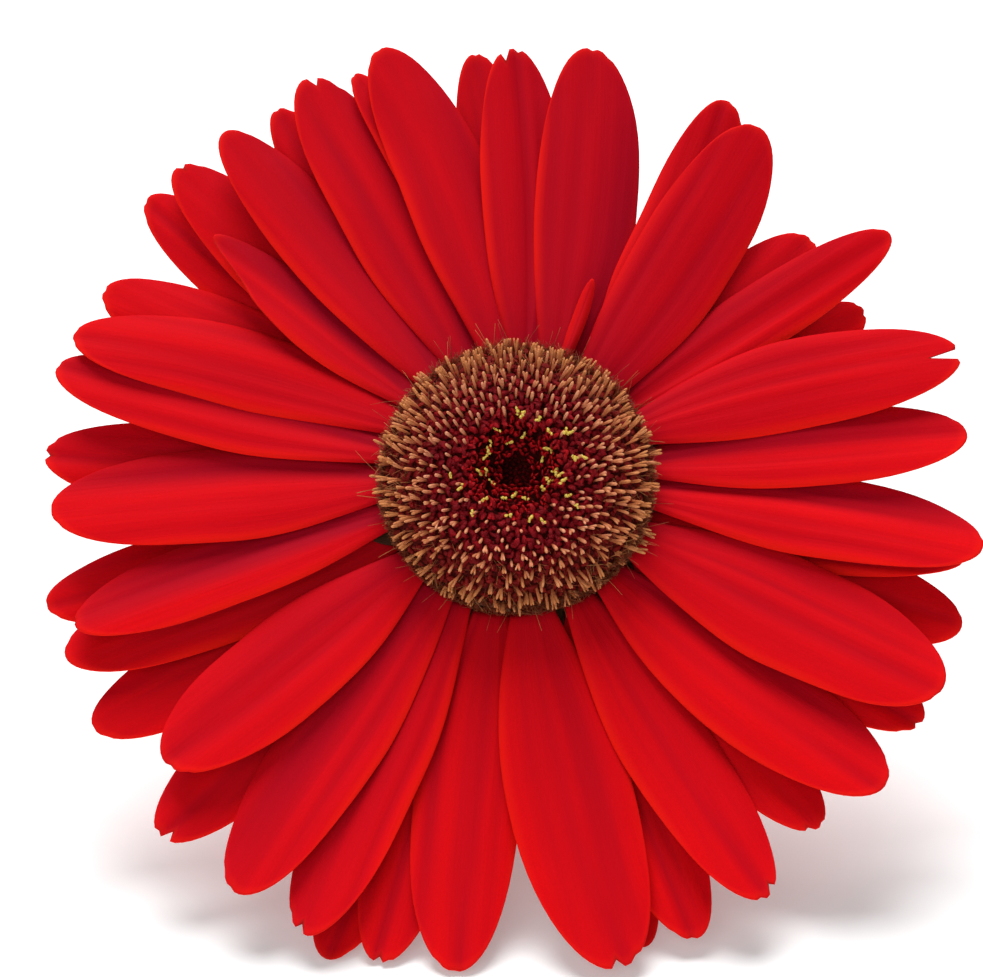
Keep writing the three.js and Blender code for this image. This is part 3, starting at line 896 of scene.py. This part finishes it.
def makeRods():
    form = discForm
    chosen = (floretRadius > form["budZone"]) & (rng.random(len(floretRadius)) > form["missing"])
    inward = np.clip((floretRadius - form["budZone"]) / 4.2, 0, 1)
    chosen &= rng.random(len(floretRadius)) < 0.22 + 0.78 * inward
    radius, angle = floretRadius[chosen], floretAngle[chosen]
    # a lower fringe leans out round the rim
    fringe = form["fringe"]
    drop = np.append(np.zeros(len(radius)), form["fringeDrop"] * rng.random(fringe))
    radius = np.append(radius, form["reach"] - 0.4 + wobble(fringe, 0.35))
    angle = np.append(angle, np.arange(fringe) * 2 * np.pi / fringe + wobble(fringe, 0.035))
    count, rings, sides = len(radius), 8, 7
    share = np.minimum(1, (radius - form["budZone"]) / (form["reach"] - form["budZone"]))
    # the rim is ragged
    broad, fine, loose = form["ragged"]
    ragged = broad * np.sin(9 * angle + 2) + fine * np.sin(23 * angle) + wobble(count, loose)
    radius = radius + share**10 * ragged
    lean = np.radians(form["leanIn"] + (form["leanOut"] - form["leanIn"]) * share**1.1)
    lean = lean + wobble(count, 0.07) + 0.22 * share**8
    twist = angle + wobble(count, 0.16) / (0.6 + share)
    length = form["rodLength"] * (0.74 + 0.34 * share + 0.12 * share**8) * (1 + wobble(count, 0.15))
    t = np.linspace(0, 1, rings)
    turnOut = lean[:, None] + (t - 0.6) * (0.25 + wobble(count, 0.12))[:, None]
    outward, upward = bentLine(turnOut, length[:, None] / (rings - 1))
    outward, upward = outward - outward[:, :1], upward - upward[:, :1]
    rootHeight = crown(radius) + 0.35 - 0.5 * share**3 - 1.6 * share**9 - drop - upward[:, -1]
    rootHeight = rootHeight + wobble(count, 0.22)
    rootRadius = radius - outward[:, -1] * 0.55
    base = polar(angle[:, None], rootRadius[:, None], rootHeight[:, None])
    paths = base + polar(twist[:, None], outward, upward)
    # the outer ones lean together in tufts, and many have parted tips
    sideAxis = polar(angle + np.pi / 2, 1.0, 0.0)
    tuft = np.clip((share - 0.5) * 2, 0, 1) * form["tuft"] * np.sin(angle * 13 + 1.1)
    paths = paths + sideAxis[:, None] * (tuft[:, None] * t**2)[..., None]
    parted = np.where((share > 0.4) & (rng.random(count) < form["parted"]))[0]
    twin = paths[parted].copy()
    part = (t - 0.45).clip(0)
    swing = 0.9 * rng.choice([-1, 1], len(parted)) + wobble(len(parted), 0.2)
    twin += sideAxis[parted][:, None] * (part[None] * swing[:, None])[..., None]
    twin[..., 2] += 0.25 * part
    paths = np.concatenate([paths, twin])
    profile = np.array([0.6, 0.66, 0.74, 0.85, 0.95, 1.0, 0.92, 0.5])
    size = form["rodRadius"] * (1 + wobble(count, 0.1)) * (1 - 0.12 * share)
    size = np.concatenate([size, size[parted] * 0.8])
    paths[:, -1] -= (paths[:, -1] - paths[:, -2]) * 0.55
    share = np.concatenate([share, share[parted]])
    count = len(paths)
    points, faces = tubeMesh(paths, size[:, None] * profile, sides, (0, 0, 1))
    values = {
        "along": alongTube(count, rings, sides),
        "shadeAndTone": perTube(rng.random(count), rings, sides),
        "age": perTube(np.clip((share - 0.3) * 1.6 + wobble(count, 0.18), 0, 1), rings, sides),
    }
    makePiece("disc_rods", points, faces, values, floretRods, ["disc_outer"])
    return count


# curled lips of the open florets, and the squarer closed ones nearer the middle
def makeLobes():
    form = discForm
    ragged = 1 + 0.2 * np.cos(3 * floretAngle + 0.3) + 0.1 * np.cos(5 * floretAngle)
    chosen = floretRadius > form["holeRadius"] * ragged
    radius, angle = floretRadius[chosen], floretAngle[chosen]
    lips = form["lips"]
    count = len(radius) * lips
    radius, angle = np.repeat(radius, lips), np.repeat(angle, lips)
    rings, sides = 6, 6
    young = np.clip((form["budZone"] + 0.8 - radius) / 1.5, 0, 1)
    around = np.tile(np.arange(lips) * 2 * np.pi / lips, len(radius) // lips) + wobble(count, 0.3)
    t = np.linspace(0, 1, rings)
    length = form["lobeLength"] * (1 + wobble(count, 0.16)) * (1 - 0.15 * young)
    openness = np.radians(22 + 40 * (1 - young) + 14 * rng.normal(0, 1, count))
    curl = (1 - young) * (1.5 + wobble(count, 0.4)) + young * -0.35
    turnOut = openness[:, None] + t * curl[:, None]
    outward, upward = bentLine(turnOut, length[:, None] / (rings - 1))
    outward = 0.16 + outward
    # the floret's own axis leans outwards with its distance from the middle
    tilt = np.clip(radius / 17, 0, 1)[:, None] * 0.8
    side, radial = outward * np.sin(around)[:, None], outward * np.cos(around)[:, None]
    leanOut = radial * np.cos(tilt) + upward * np.sin(tilt)
    leanUp = upward * np.cos(tilt) - radial * np.sin(tilt)
    outwardAxis = polar(angle, 1.0, 0.0)[:, None]
    sideAxis = polar(angle + np.pi / 2, 1.0, 0.0)[:, None]
    height = crown(radius) - 1.35 + 0.4 * young + wobble(count, 0.18)
    height -= 1.1 * np.clip((radius - 12) / 4, 0, 1)
    root = polar(angle, radius - 0.35, height)[:, None]
    paths = root + outwardAxis * leanOut[..., None] + sideAxis * side[..., None]
    paths[..., 2] += leanUp
    profile = np.array([0.6, 0.9, 1.0, 0.95, 0.7, 0.2])
    size = form["lobeRadius"] * (1 + wobble(count, 0.15)) * (1 + 0.25 * young)
    reference = outwardAxis[:, 0] * 0.3 + (0, 0, 1)
    points, faces = tubeMesh(paths, size[:, None] * profile, sides, reference, 0.38)
    values = {
        "along": alongTube(count, rings, sides),
        "shadeAndTone": perTube(rng.random(count), rings, sides),
        "fresh": perTube(np.clip(young * 1.1 * rng.random(count) ** 0.6, 0, 1), rings, sides),
        "brown": perTube(np.clip((radius - 11.5) / 6, 0, 0.5), rings, sides),
    }
    makePiece("disc_lobes", points, faces, values, corollaLobes)
    return count


def makeBuds():  # closed buds crowd the sunken middle
    form = discForm
    count, rings, sides = form["buds"], 5, 6
    k = np.arange(count) + 0.5
    radius = (form["holeRadius"] + 0.5) * np.sqrt(k / count)
    angle = k * goldenTurn
    root = polar(angle, radius, coreHeight(radius) - 0.2)[:, None]
    t = np.linspace(0, 1, rings)
    length = 0.5 + 1.1 * (radius / form["holeRadius"]) ** 2
    paths = root + np.array([0, 0, 1.0]) * (t * length[:, None])[..., None]
    paths = paths - polar(angle, 1.0, 0.0)[:, None] * (0.35 * t**2)[None, :, None]
    profile = np.array([0.9, 1.0, 0.95, 0.7, 0.2])
    points, faces = tubeMesh(paths, form["budRadius"] * profile + 0 * paths[..., 0], sides, (1, 0.2, 0))
    values = {
        "along": alongTube(count, rings, sides) * 0.5,
        "shadeAndTone": perTube(rng.random(count) * 0.5, rings, sides),
        "fresh": perTube(np.zeros(count), rings, sides),
    }
    makePiece("disc_heart", points, faces, values, corollaLobes)


pollenForm = {"clumps": 40, "grains": 4, "from": 3.2, "to": 9.0, "size": 0.17}


def makePollen():
    form = pollenForm
    clumps, grains = form["clumps"], form["grains"]
    radius = form["from"] + (form["to"] - form["from"]) * rng.random(clumps) ** 1.3
    angle = rng.random(clumps) * 2 * np.pi
    heading = rng.random(clumps) * 2 * np.pi
    count, rings, sides = clumps * grains, 5, 6
    centre = np.repeat(polar(angle, radius, crown(radius) + 0.35), grains, axis=0)
    order = np.tile(np.arange(grains) - (grains - 1) / 2, clumps)
    line = polar(np.repeat(heading, grains), 1.0, 0.25)
    centre = centre + line * (order * form["size"] * 1.25)[:, None] + rng.normal(0, 0.07, (count, 3))
    along = polar(np.repeat(heading, grains) + wobble(count, 0.7), 1.0, 0.3 * rng.normal(0, 1, count))
    size = form["size"] * (0.75 + 0.5 * rng.random(count))
    t = np.linspace(-1, 1, rings)
    paths = centre[:, None] + along[:, None] * (t * 1.25)[None, :, None] * size[:, None, None]
    profile = np.array([0.25, 0.85, 1.0, 0.8, 0.25])
    bumpy = 1 + rng.normal(0, 0.12, (count, rings))
    points, faces = tubeMesh(paths, size[:, None] * profile * bumpy, sides, (0, 0, 1))
    makePiece("disc_pollen", points, faces, {}, pollenCrumbs)


# hairs of the collar, hairs between the outer florets and a few that stand clear
pappusForm = {"hairs": 3600, "inside": 600, "stray": 50, "radius": 0.055, "collarPale": 0.35}


def makePappus():
    form = pappusForm
    collar = toHead(cornersOf("pappus"))
    reach = np.hypot(collar[:, 0], collar[:, 1])
    inner, outer = reach.min(), reach.max()
    low, high = collar[:, 2].min(), collar[:, 2].max()
    count = form["hairs"] + form["inside"] + form["stray"]
    kind = np.repeat([0, 1, 2], [form["hairs"], form["inside"], form["stray"]])
    angle = rng.random(count) * 2 * np.pi
    stray, inside = kind == 2, kind == 1
    rootRadius = inner - 1.3 + 0.75 * rng.random(count)
    rootHeight = 0.3 + (low - 0.1) * rng.random(count) ** 0.7
    tipRadius = inner + (outer - inner) * (0.02 + 0.48 * rng.random(count) ** 1.4)
    tipHeight = high - 1.2 + 2.6 * rng.random(count)
    rootRadius[inside] = 9 + 7 * rng.random(inside.sum()) ** 0.6
    tipRadius[inside] = rootRadius[inside] + 1.2 + 0.8 * rng.random(inside.sum())
    rootHeight[inside] = crown(rootRadius[inside]) - 2.6
    tipHeight[inside] = crown(tipRadius[inside]) - 0.7 + wobble(inside.sum(), 0.3)
    skirt = (kind == 0) & (np.arange(count) % 3 == 0)  # these stand low and cover the rim beneath
    rootRadius[skirt] = inner - 0.1 + 0.3 * rng.random(skirt.sum())
    rootHeight[skirt] = -0.3 + 1.5 * rng.random(skirt.sum())
    tipRadius[skirt] = rootRadius[skirt] + 0.5 + 0.4 * rng.random(skirt.sum())
    tipHeight[skirt] = rootHeight[skirt] + 1.6 + 0.8 * rng.random(skirt.sum())
    tipRadius[stray] = outer - 0.2 + 1.5 * rng.random(stray.sum())
    tipHeight[stray] = high + 0.4 + 0.9 * rng.random(stray.sum())
    rings, sides = 5, 3
    t = np.linspace(0, 1, rings)
    swing = angle[:, None] + (wobble(count, 1.1) / rootRadius)[:, None] * t
    out = rootRadius[:, None] + (tipRadius - rootRadius)[:, None] * t
    up = rootHeight[:, None] + (tipHeight - rootHeight)[:, None] * t ** 0.62
    paths = polar(swing, out, up)
    radii = form["radius"] * (1 - 0.65 * t)[None] * (1 + wobble(count, 0.12))[:, None]
    points, faces = tubeMesh(paths, radii, sides, (0, 0, 1))
    pale = np.where(kind == 0, form["collarPale"], 1)
    values = {
        "along": alongTube(count, rings, sides) * perTube(pale, rings, sides),
        "shadeAndTone": perTube(rng.random(count) ** 2 * pale, rings, sides),
    }
    makePiece("pappus_hair", points, faces, values, pappusHair, ["pappus"])


# thin pointed leaves round the head, each on a curve that rise gives at a radius; cup lifts its edges
# and lift raises every other leaf
def leafMesh(angles, rise, radii, halfWidth, thickness, seeds, cup, lift):
    rows, columns = 14, 6
    points, faces, values = [], [], {"grain": [], "along": [], "valley": []}
    share, side = np.meshgrid(np.linspace(0, 1, rows + 1), np.linspace(-1, 1, columns + 1), indexing="ij")
    for number, (angle, seed) in enumerate(zip(angles, seeds)):
        chance = np.random.default_rng(int(seed))
        radius = radii[0] + (radii[1] * chance.uniform(0.95, 1.0) - radii[0]) * share
        width = halfWidth * (0.72 + 0.75 * share - 1.42 * share**2.2)
        width = np.maximum(width, 0.05) * chance.uniform(0.9, 1.1)
        across = side * width + chance.uniform(-0.8, 0.8) * share**2
        height = rise(radius) + lift * (number % 2) + cup * side**2 * width
        height = height + chance.uniform(-0.3, 0.3) * share**2
        out = polar(angle, 1.0, 0.0)
        sideways = polar(angle + np.pi / 2, 1.0, 0.0)
        spot = out * radius[..., None] + sideways * across[..., None]
        half = thickness / 2 * (1 - 0.7 * share) * np.sqrt(np.maximum(0.0, 1 - side**4))
        upper, lower = spot.copy(), spot.copy()
        upper[..., 2] += height + half
        lower[..., 2] += height - half
        base = len(points)
        count = (rows + 1) * (columns + 1)
        index = np.arange(count).reshape(rows + 1, columns + 1) + base
        under = index + count
        rim = (np.abs(side) > 0.999) | (share < 1e-6) | (share > 0.999)
        under[rim] = index[rim]
        lower[rim] = upper[rim] = (upper[rim] + lower[rim]) / 2
        points.extend(upper.reshape(-1, 3))
        points.extend(lower.reshape(-1, 3))
        faces += gridFaces(index, True) + gridFaces(under)
        grain = np.stack([across.ravel(), radius.ravel(), np.full(count, seed * 1.0)], -1)
        for _ in range(2):
            values["grain"].append(grain)
            values["along"].append(share.ravel())
            values["valley"].append(bell(side, 0, 0.18).ravel())
    points = np.array(points)
    used = np.unique(np.array(faces))
    renumber = np.zeros(len(points), int)
    renumber[used] = np.arange(len(used))
    values = {key: np.concatenate(value)[used] for key, value in values.items()}
    return points[used], renumber[np.array(faces)].tolist(), values


bractForm = {"thickness": 0.6, "overlap": 1.15, "cup": 0.16, "lift": 0.3}


def makeBracts(name, seed):
    form = bractForm
    corners = toHead(cornersOf(name))
    reach = np.hypot(corners[:, 0], corners[:, 1])
    tips = corners[reach > 0.985 * reach.max()]
    turns = np.round(np.arctan2(tips[:, 0], tips[:, 1]), 2)
    angles = np.unique(turns)
    angles = angles[np.append(True, np.diff(angles) > 0.05)]
    curve = np.polyfit(reach, corners[:, 2], 3)
    inner, outer = reach.min(), reach.max()
    halfWidth = form["overlap"] * math.pi * (inner + 0.45 * (outer - inner)) / len(angles)
    points, faces, values = leafMesh(
        angles, lambda radius: np.polyval(curve, radius), (inner, outer), halfWidth, form["thickness"],
        seed * 100 + np.arange(len(angles)), form["cup"], form["lift"],
    )
    makePiece(name.replace("bracts", "bract"), points, faces, values, bractGreen, [name])
    return len(angles)


scaleForm = {
    "count": 56,
    "from": 13.6,
    "to": 19.2,
    "halfWidth": 1.8,
    "thickness": 0.25,
    "height": -2.1,
    "cup": 0.04,
    "lift": 0.35,
}


def makeScales():  # little chaffy scales that show in the gaps between the claws
    form = scaleForm
    count = form["count"]
    angles = np.arange(count) * 2 * np.pi / count + wobble(count, 0.05)
    points, faces, values = leafMesh(
        angles, lambda radius: form["height"] + 0.1 * (radius - 15), (form["from"], form["to"]),
        form["halfWidth"], form["thickness"], 900 + np.arange(count), form["cup"], form["lift"],
    )
    makePiece("chaff_scales", points, faces, values, chaffBrown)


def makeReceptacle():  # turned from the outline of its frame piece
    corners = toHead(cornersOf("receptacle"))
    profile = np.stack([np.hypot(corners[:, 0], corners[:, 1]), corners[:, 2]], -1)
    profile = np.unique(np.round(profile, 2), axis=0)
    profile = profile[np.lexsort((-profile[:, 0], -profile[:, 1]))]
    span = np.append(0, np.cumsum(np.hypot(*np.diff(profile, axis=0).T)))
    stations = np.linspace(0.02, span[-1] - 0.02, 60)
    radius = np.interp(stations, span, profile[:, 0])
    height = np.interp(stations, span, profile[:, 1])
    turns = 72
    angle = np.linspace(0, 2 * np.pi, turns, endpoint=False)
    ribbed = 1 - 0.012 * (1 + np.cos(angle * 12))[None] * np.clip(-height / 6, 0, 1)[:, None]
    points = polar(angle[None], radius[:, None] * ribbed, height[:, None] + 0 * angle[None]).reshape(-1, 3)
    faces = bandFaces(len(stations), turns)
    distance = (angle[None] * radius[:, None]).ravel()
    values = {
        "grain": np.stack([distance, np.repeat(height, turns), np.zeros(len(points))], -1),
        "blush": np.repeat(np.clip((height + 4) / 3, 0, 1) * 1.6, turns),
    }
    makePiece("receptacle_base", points, faces, values, scapeGreen, ["receptacle"])


makeCore()
print("rods made:", makeRods())
print("lobes made:", makeLobes())
makeBuds()
makePollen()
makePappus()
print("disc made")
for seed, name in enumerate(("bracts_inner", "bracts_middle", "bracts_outer"), 1):
    print("bracts made:", makeBracts(name, seed))
makeScales()
makeReceptacle()


# the scape is followed from the neck to its cut end
scapeForm = {
    "step": 3.0,
    "sides": 48,
    "ribs": 11,
    "ribDepth": 0.09,
    "unevenness": 0.012,
    "cutSlant": 0.6,
    "hairs": 2600,
    "hairLength": 0.75,
    "hairRadius": 0.028,
}

# the cut face: a firm rim round a softer middle that has shrunk in a little; each ring has its share of
# the radius, how far it has sunk in mm, and how much of the skin's colour it has
cutRings = [(0.93, 0.05, 1.0), (0.8, 0.02, 0.45), (0.55, 0.22, 0.1), (0.25, 0.5, 0.0), (0.02, 0.55, 0.25)]


def followScape():
    triangles = trianglesOf("scape")
    corners = triangles.reshape(-1, 3)
    direction = -headAxis
    along = (corners - headOrigin) @ direction
    point = headOrigin + direction * (along.min() + 0.2 * mm)
    centres, radii = [], []
    endY = corners[:, 1].max()
    mostCuts, leastGirth = 200, 6 * mm
    while len(centres) < mostCuts:
        cut = cutAcross(triangles, point, direction)
        weight = np.linalg.norm(cut[:, 1] - cut[:, 0], axis=1)
        if not len(cut) or weight.sum() < leastGirth:
            break
        middle = (cut.mean(axis=1) * weight[:, None]).sum(axis=0) / weight.sum()
        centres.append(middle)
        radii.append(weight.sum() / (2 * np.pi))
        if len(centres) > 1:
            turned = centres[-1] - centres[-2]
            direction = turned / np.linalg.norm(turned)
        point = middle + direction * scapeForm["step"] * mm
        if point[1] > endY - 0.3 * mm:
            break
    return np.array(centres), np.array(radii)


def smoothScape():  # its centre line and radii in the head's frame, up to the cut end
    centres, radii = followScape()
    endY = cornersOf("scape")[:, 1].max()
    heading = (centres[-1] - centres[-2]) / np.linalg.norm(centres[-1] - centres[-2])
    last = centres[-1] + heading * (endY - centres[-1][1] - radii[-1] * scapeForm["cutSlant"])
    centres = np.vstack([centres, last])
    radii = np.append(radii, radii[-1])
    kernel = np.array([1, 2, 3, 2, 1]) / 9
    padded = np.vstack([centres[:1].repeat(2, axis=0), centres, centres[-1:].repeat(2, axis=0)])
    smooth = np.stack([np.convolve(padded[:, i], kernel, "valid") for i in range(3)], -1)
    smooth[:2], smooth[-2:] = centres[:2], centres[-2:]
    finer = np.linspace(0, len(smooth) - 1, 2 * len(smooth) - 1)
    path = np.stack([np.interp(finer, np.arange(len(smooth)), smooth[:, i]) for i in range(3)], -1)
    radius = np.interp(finer, np.arange(len(radii)), radii)
    path[:, 2] = np.maximum(path[:, 2], radius + 0.03 * mm)
    return toHead(path), radius / mm


def makeScape():
    form = scapeForm
    path, radius = smoothScape()
    sides, rings = form["sides"], len(path)
    tangent = np.gradient(path, axis=0)
    tangent /= np.linalg.norm(tangent, axis=1, keepdims=True)
    side = np.cross(tangent, np.cross((1.0, 0, 0), tangent))
    side /= np.linalg.norm(side, axis=1, keepdims=True)
    lift = np.cross(side, tangent)
    turn = 2 * np.pi * np.arange(sides) / sides
    distance = np.append(0, np.cumsum(np.linalg.norm(np.diff(path, axis=0), axis=1)))
    rib = 1 - form["ribDepth"] * (0.5 - 0.5 * np.cos(form["ribs"] * turn[None] + 0.004 * distance[:, None]))
    rib = rib + form["unevenness"] * np.sin(distance[:, None] / 9 + 2 * turn[None])
    around = side[:, None] * np.cos(turn)[:, None] + lift[:, None] * np.sin(turn)[:, None]
    points = path[:, None] + around * (radius[:, None] * rib * 0.99)[..., None]
    slant = around[-1] @ tableUp
    points[-1] = points[-1] - tangent[-1] * (form["cutSlant"] * radius[-1] * slant)[:, None]
    rims = [points]
    for shrink, sink, _ in cutRings:
        ring = path[-1] + (points[-1] - path[-1]) * shrink - tangent[-1] * sink
        rims.append(ring[None])
    points = np.concatenate(rims).reshape(-1, 3)
    total = rings + len(cutRings)
    faces = bandFaces(total, sides, True)
    reach = np.append(distance, np.full(len(cutRings), distance[-1]))
    blush = np.exp(-reach / 16) + 0.15 * bell(reach, 60, 30)
    skin = np.append(np.ones(rings), [colour for _, _, colour in cutRings])
    values = {
        "grain": np.stack([
            np.tile(turn * radius.mean(), total), np.repeat(reach, sides), np.zeros(total * sides)
        ], -1),
        "blush": np.repeat(np.clip(blush, 0, 1), sides),
        "along": np.repeat(skin, sides),
    }
    piece = makePiece("scape_stem", points, faces, values, scapeGreen, ["scape"])
    piece.data.materials.append(cutPith)
    cutFaces = np.zeros(len(faces), np.int32)  # beyond the skin, and at the last cap, the pith shows
    cutFaces[(rings - 1) * sides:-2] = 1
    cutFaces[-1] = 1
    piece.data.polygons.foreach_set("material_index", cutFaces)
    return path, radius, side, lift, tangent


def makeStemHair(path, radius, side, lift, tangent):
    form = scapeForm
    count, rings, sides = form["hairs"], 4, 3
    place = (rng.random(count) ** 1.15) * (len(path) - 4)
    row = place.astype(int)
    share = (place - row)[:, None]
    turn = rng.random(count) * 2 * np.pi
    centre = path[row] * (1 - share) + path[row + 1] * share
    out = side[row] * np.cos(turn)[:, None] + lift[row] * np.sin(turn)[:, None]
    root = centre + out * (radius[row] * 0.93)[:, None]
    length = form["hairLength"] * (0.6 + 0.8 * rng.random(count))
    t = np.linspace(0, 1, rings)
    way = out + tangent[row] * (-0.35 + wobble(count, 0.4))[:, None]
    bend = np.cross(out, tangent[row]) * wobble(count, 0.35)[:, None]
    line = way[:, None] * t[None, :, None] + bend[:, None] * (t**2)[None, :, None]
    paths = root[:, None] + line * length[:, None, None]
    clear = (paths @ tableUp).min(axis=1) > tableLevel + 0.03  # the others would reach into the table
    paths = paths[clear]
    kept = len(paths)
    radii = np.tile(form["hairRadius"] * (1 - 0.7 * t), (kept, 1))
    points, faces = tubeMesh(paths, radii, sides, (0.3, 0.2, 1))
    makePiece("scape_hair", points, faces, {"along": alongTube(kept, rings, sides)}, stemHair)


makeStemHair(*makeScape())
print("scape made")


# floor, light and camera
floorForm = {"reach": 3.0, "pale": (0.86, 0.86, 0.86, 1), "paler": (0.88, 0.88, 0.88, 1), "glow": 0.22}


def makeFloor():
    form = floorForm
    mesh = bpy.data.meshes.new("floorSheet")
    reach = form["reach"]
    mesh.from_pydata(
        [(-reach, -reach, 0), (reach, -reach, 0), (reach, reach, 0), (-reach, reach, 0)], [], [(0, 1, 2, 3)]
    )
    material, tree, shader = newMaterial(
        "floorPale", Roughness=0.85, Specular_IOR_Level=0.1, Emission_Color=(1, 1, 1, 1),
        Emission_Strength=form["glow"],
    )
    cloud = useGroup(tree, mottleGroup, Size_in_mm=120.0).outputs["Cloud"]
    finishLook(tree, shader, addMix(tree, cloud, form["pale"], form["paler"]))
    mesh.materials.append(material)
    floor = bpy.data.objects.new("floorSheet", mesh)
    bpy.context.scene.collection.objects.link(floor)


lightPlan = {
    "world": 0.24,
    "overhead": {"place": (-0.12, 0.3, 1.25), "size": 0.9, "power": 20},
    "front": {"place": (-0.4, -1.3, 0.8), "size": 1.2, "power": 5.5},
}


def makeLights():
    world = bpy.data.worlds.new("studio")
    bpy.context.scene.world = world
    world.use_nodes = True
    background = world.node_tree.nodes["Background"]
    background.inputs["Color"].default_value = (1, 1, 1, 1)
    background.inputs["Strength"].default_value = lightPlan["world"]
    target = Vector(headOrigin)
    for name in ("overhead", "front"):
        plan = lightPlan[name]
        lamp = bpy.data.lights.new(name, "AREA")
        lamp.shape = "DISK"
        lamp.size = plan["size"]
        lamp.energy = plan["power"]
        light = bpy.data.objects.new(name, lamp)
        light.location = plan["place"]
        light.rotation_euler = (light.location - target).to_track_quat("Z", "Y").to_euler()
        bpy.context.scene.collection.objects.link(light)


# rise and field in degrees, distance in mm
cameraPlan = {"rise": 28, "distance": 330, "field": 20.98, "shiftX": -0.0249, "shiftY": -0.0056}


def makeCamera():
    plan = cameraPlan
    rise = math.radians(plan["rise"])
    away = Vector((0, -math.cos(rise), math.sin(rise)))
    lens = bpy.data.cameras.new("camera")
    lens.sensor_width = 36
    lens.sensor_fit = "HORIZONTAL"
    lens.lens = 18 / math.tan(math.radians(plan["field"] / 2))
    lens.shift_x, lens.shift_y = plan["shiftX"], plan["shiftY"]
    lens.clip_start, lens.clip_end = 0.01, 20
    camera = bpy.data.objects.new("camera", lens)
    camera.location = Vector(headOrigin) + away * plan["distance"] * mm
    camera.rotation_euler = away.to_track_quat("Z", "Y").to_euler()
    bpy.context.scene.collection.objects.link(camera)
    bpy.context.scene.camera = camera


makeFloor()
makeLights()
makeCamera()
bpy.context.scene.view_settings.view_transform = "Standard"
print("floor, lights and camera made")
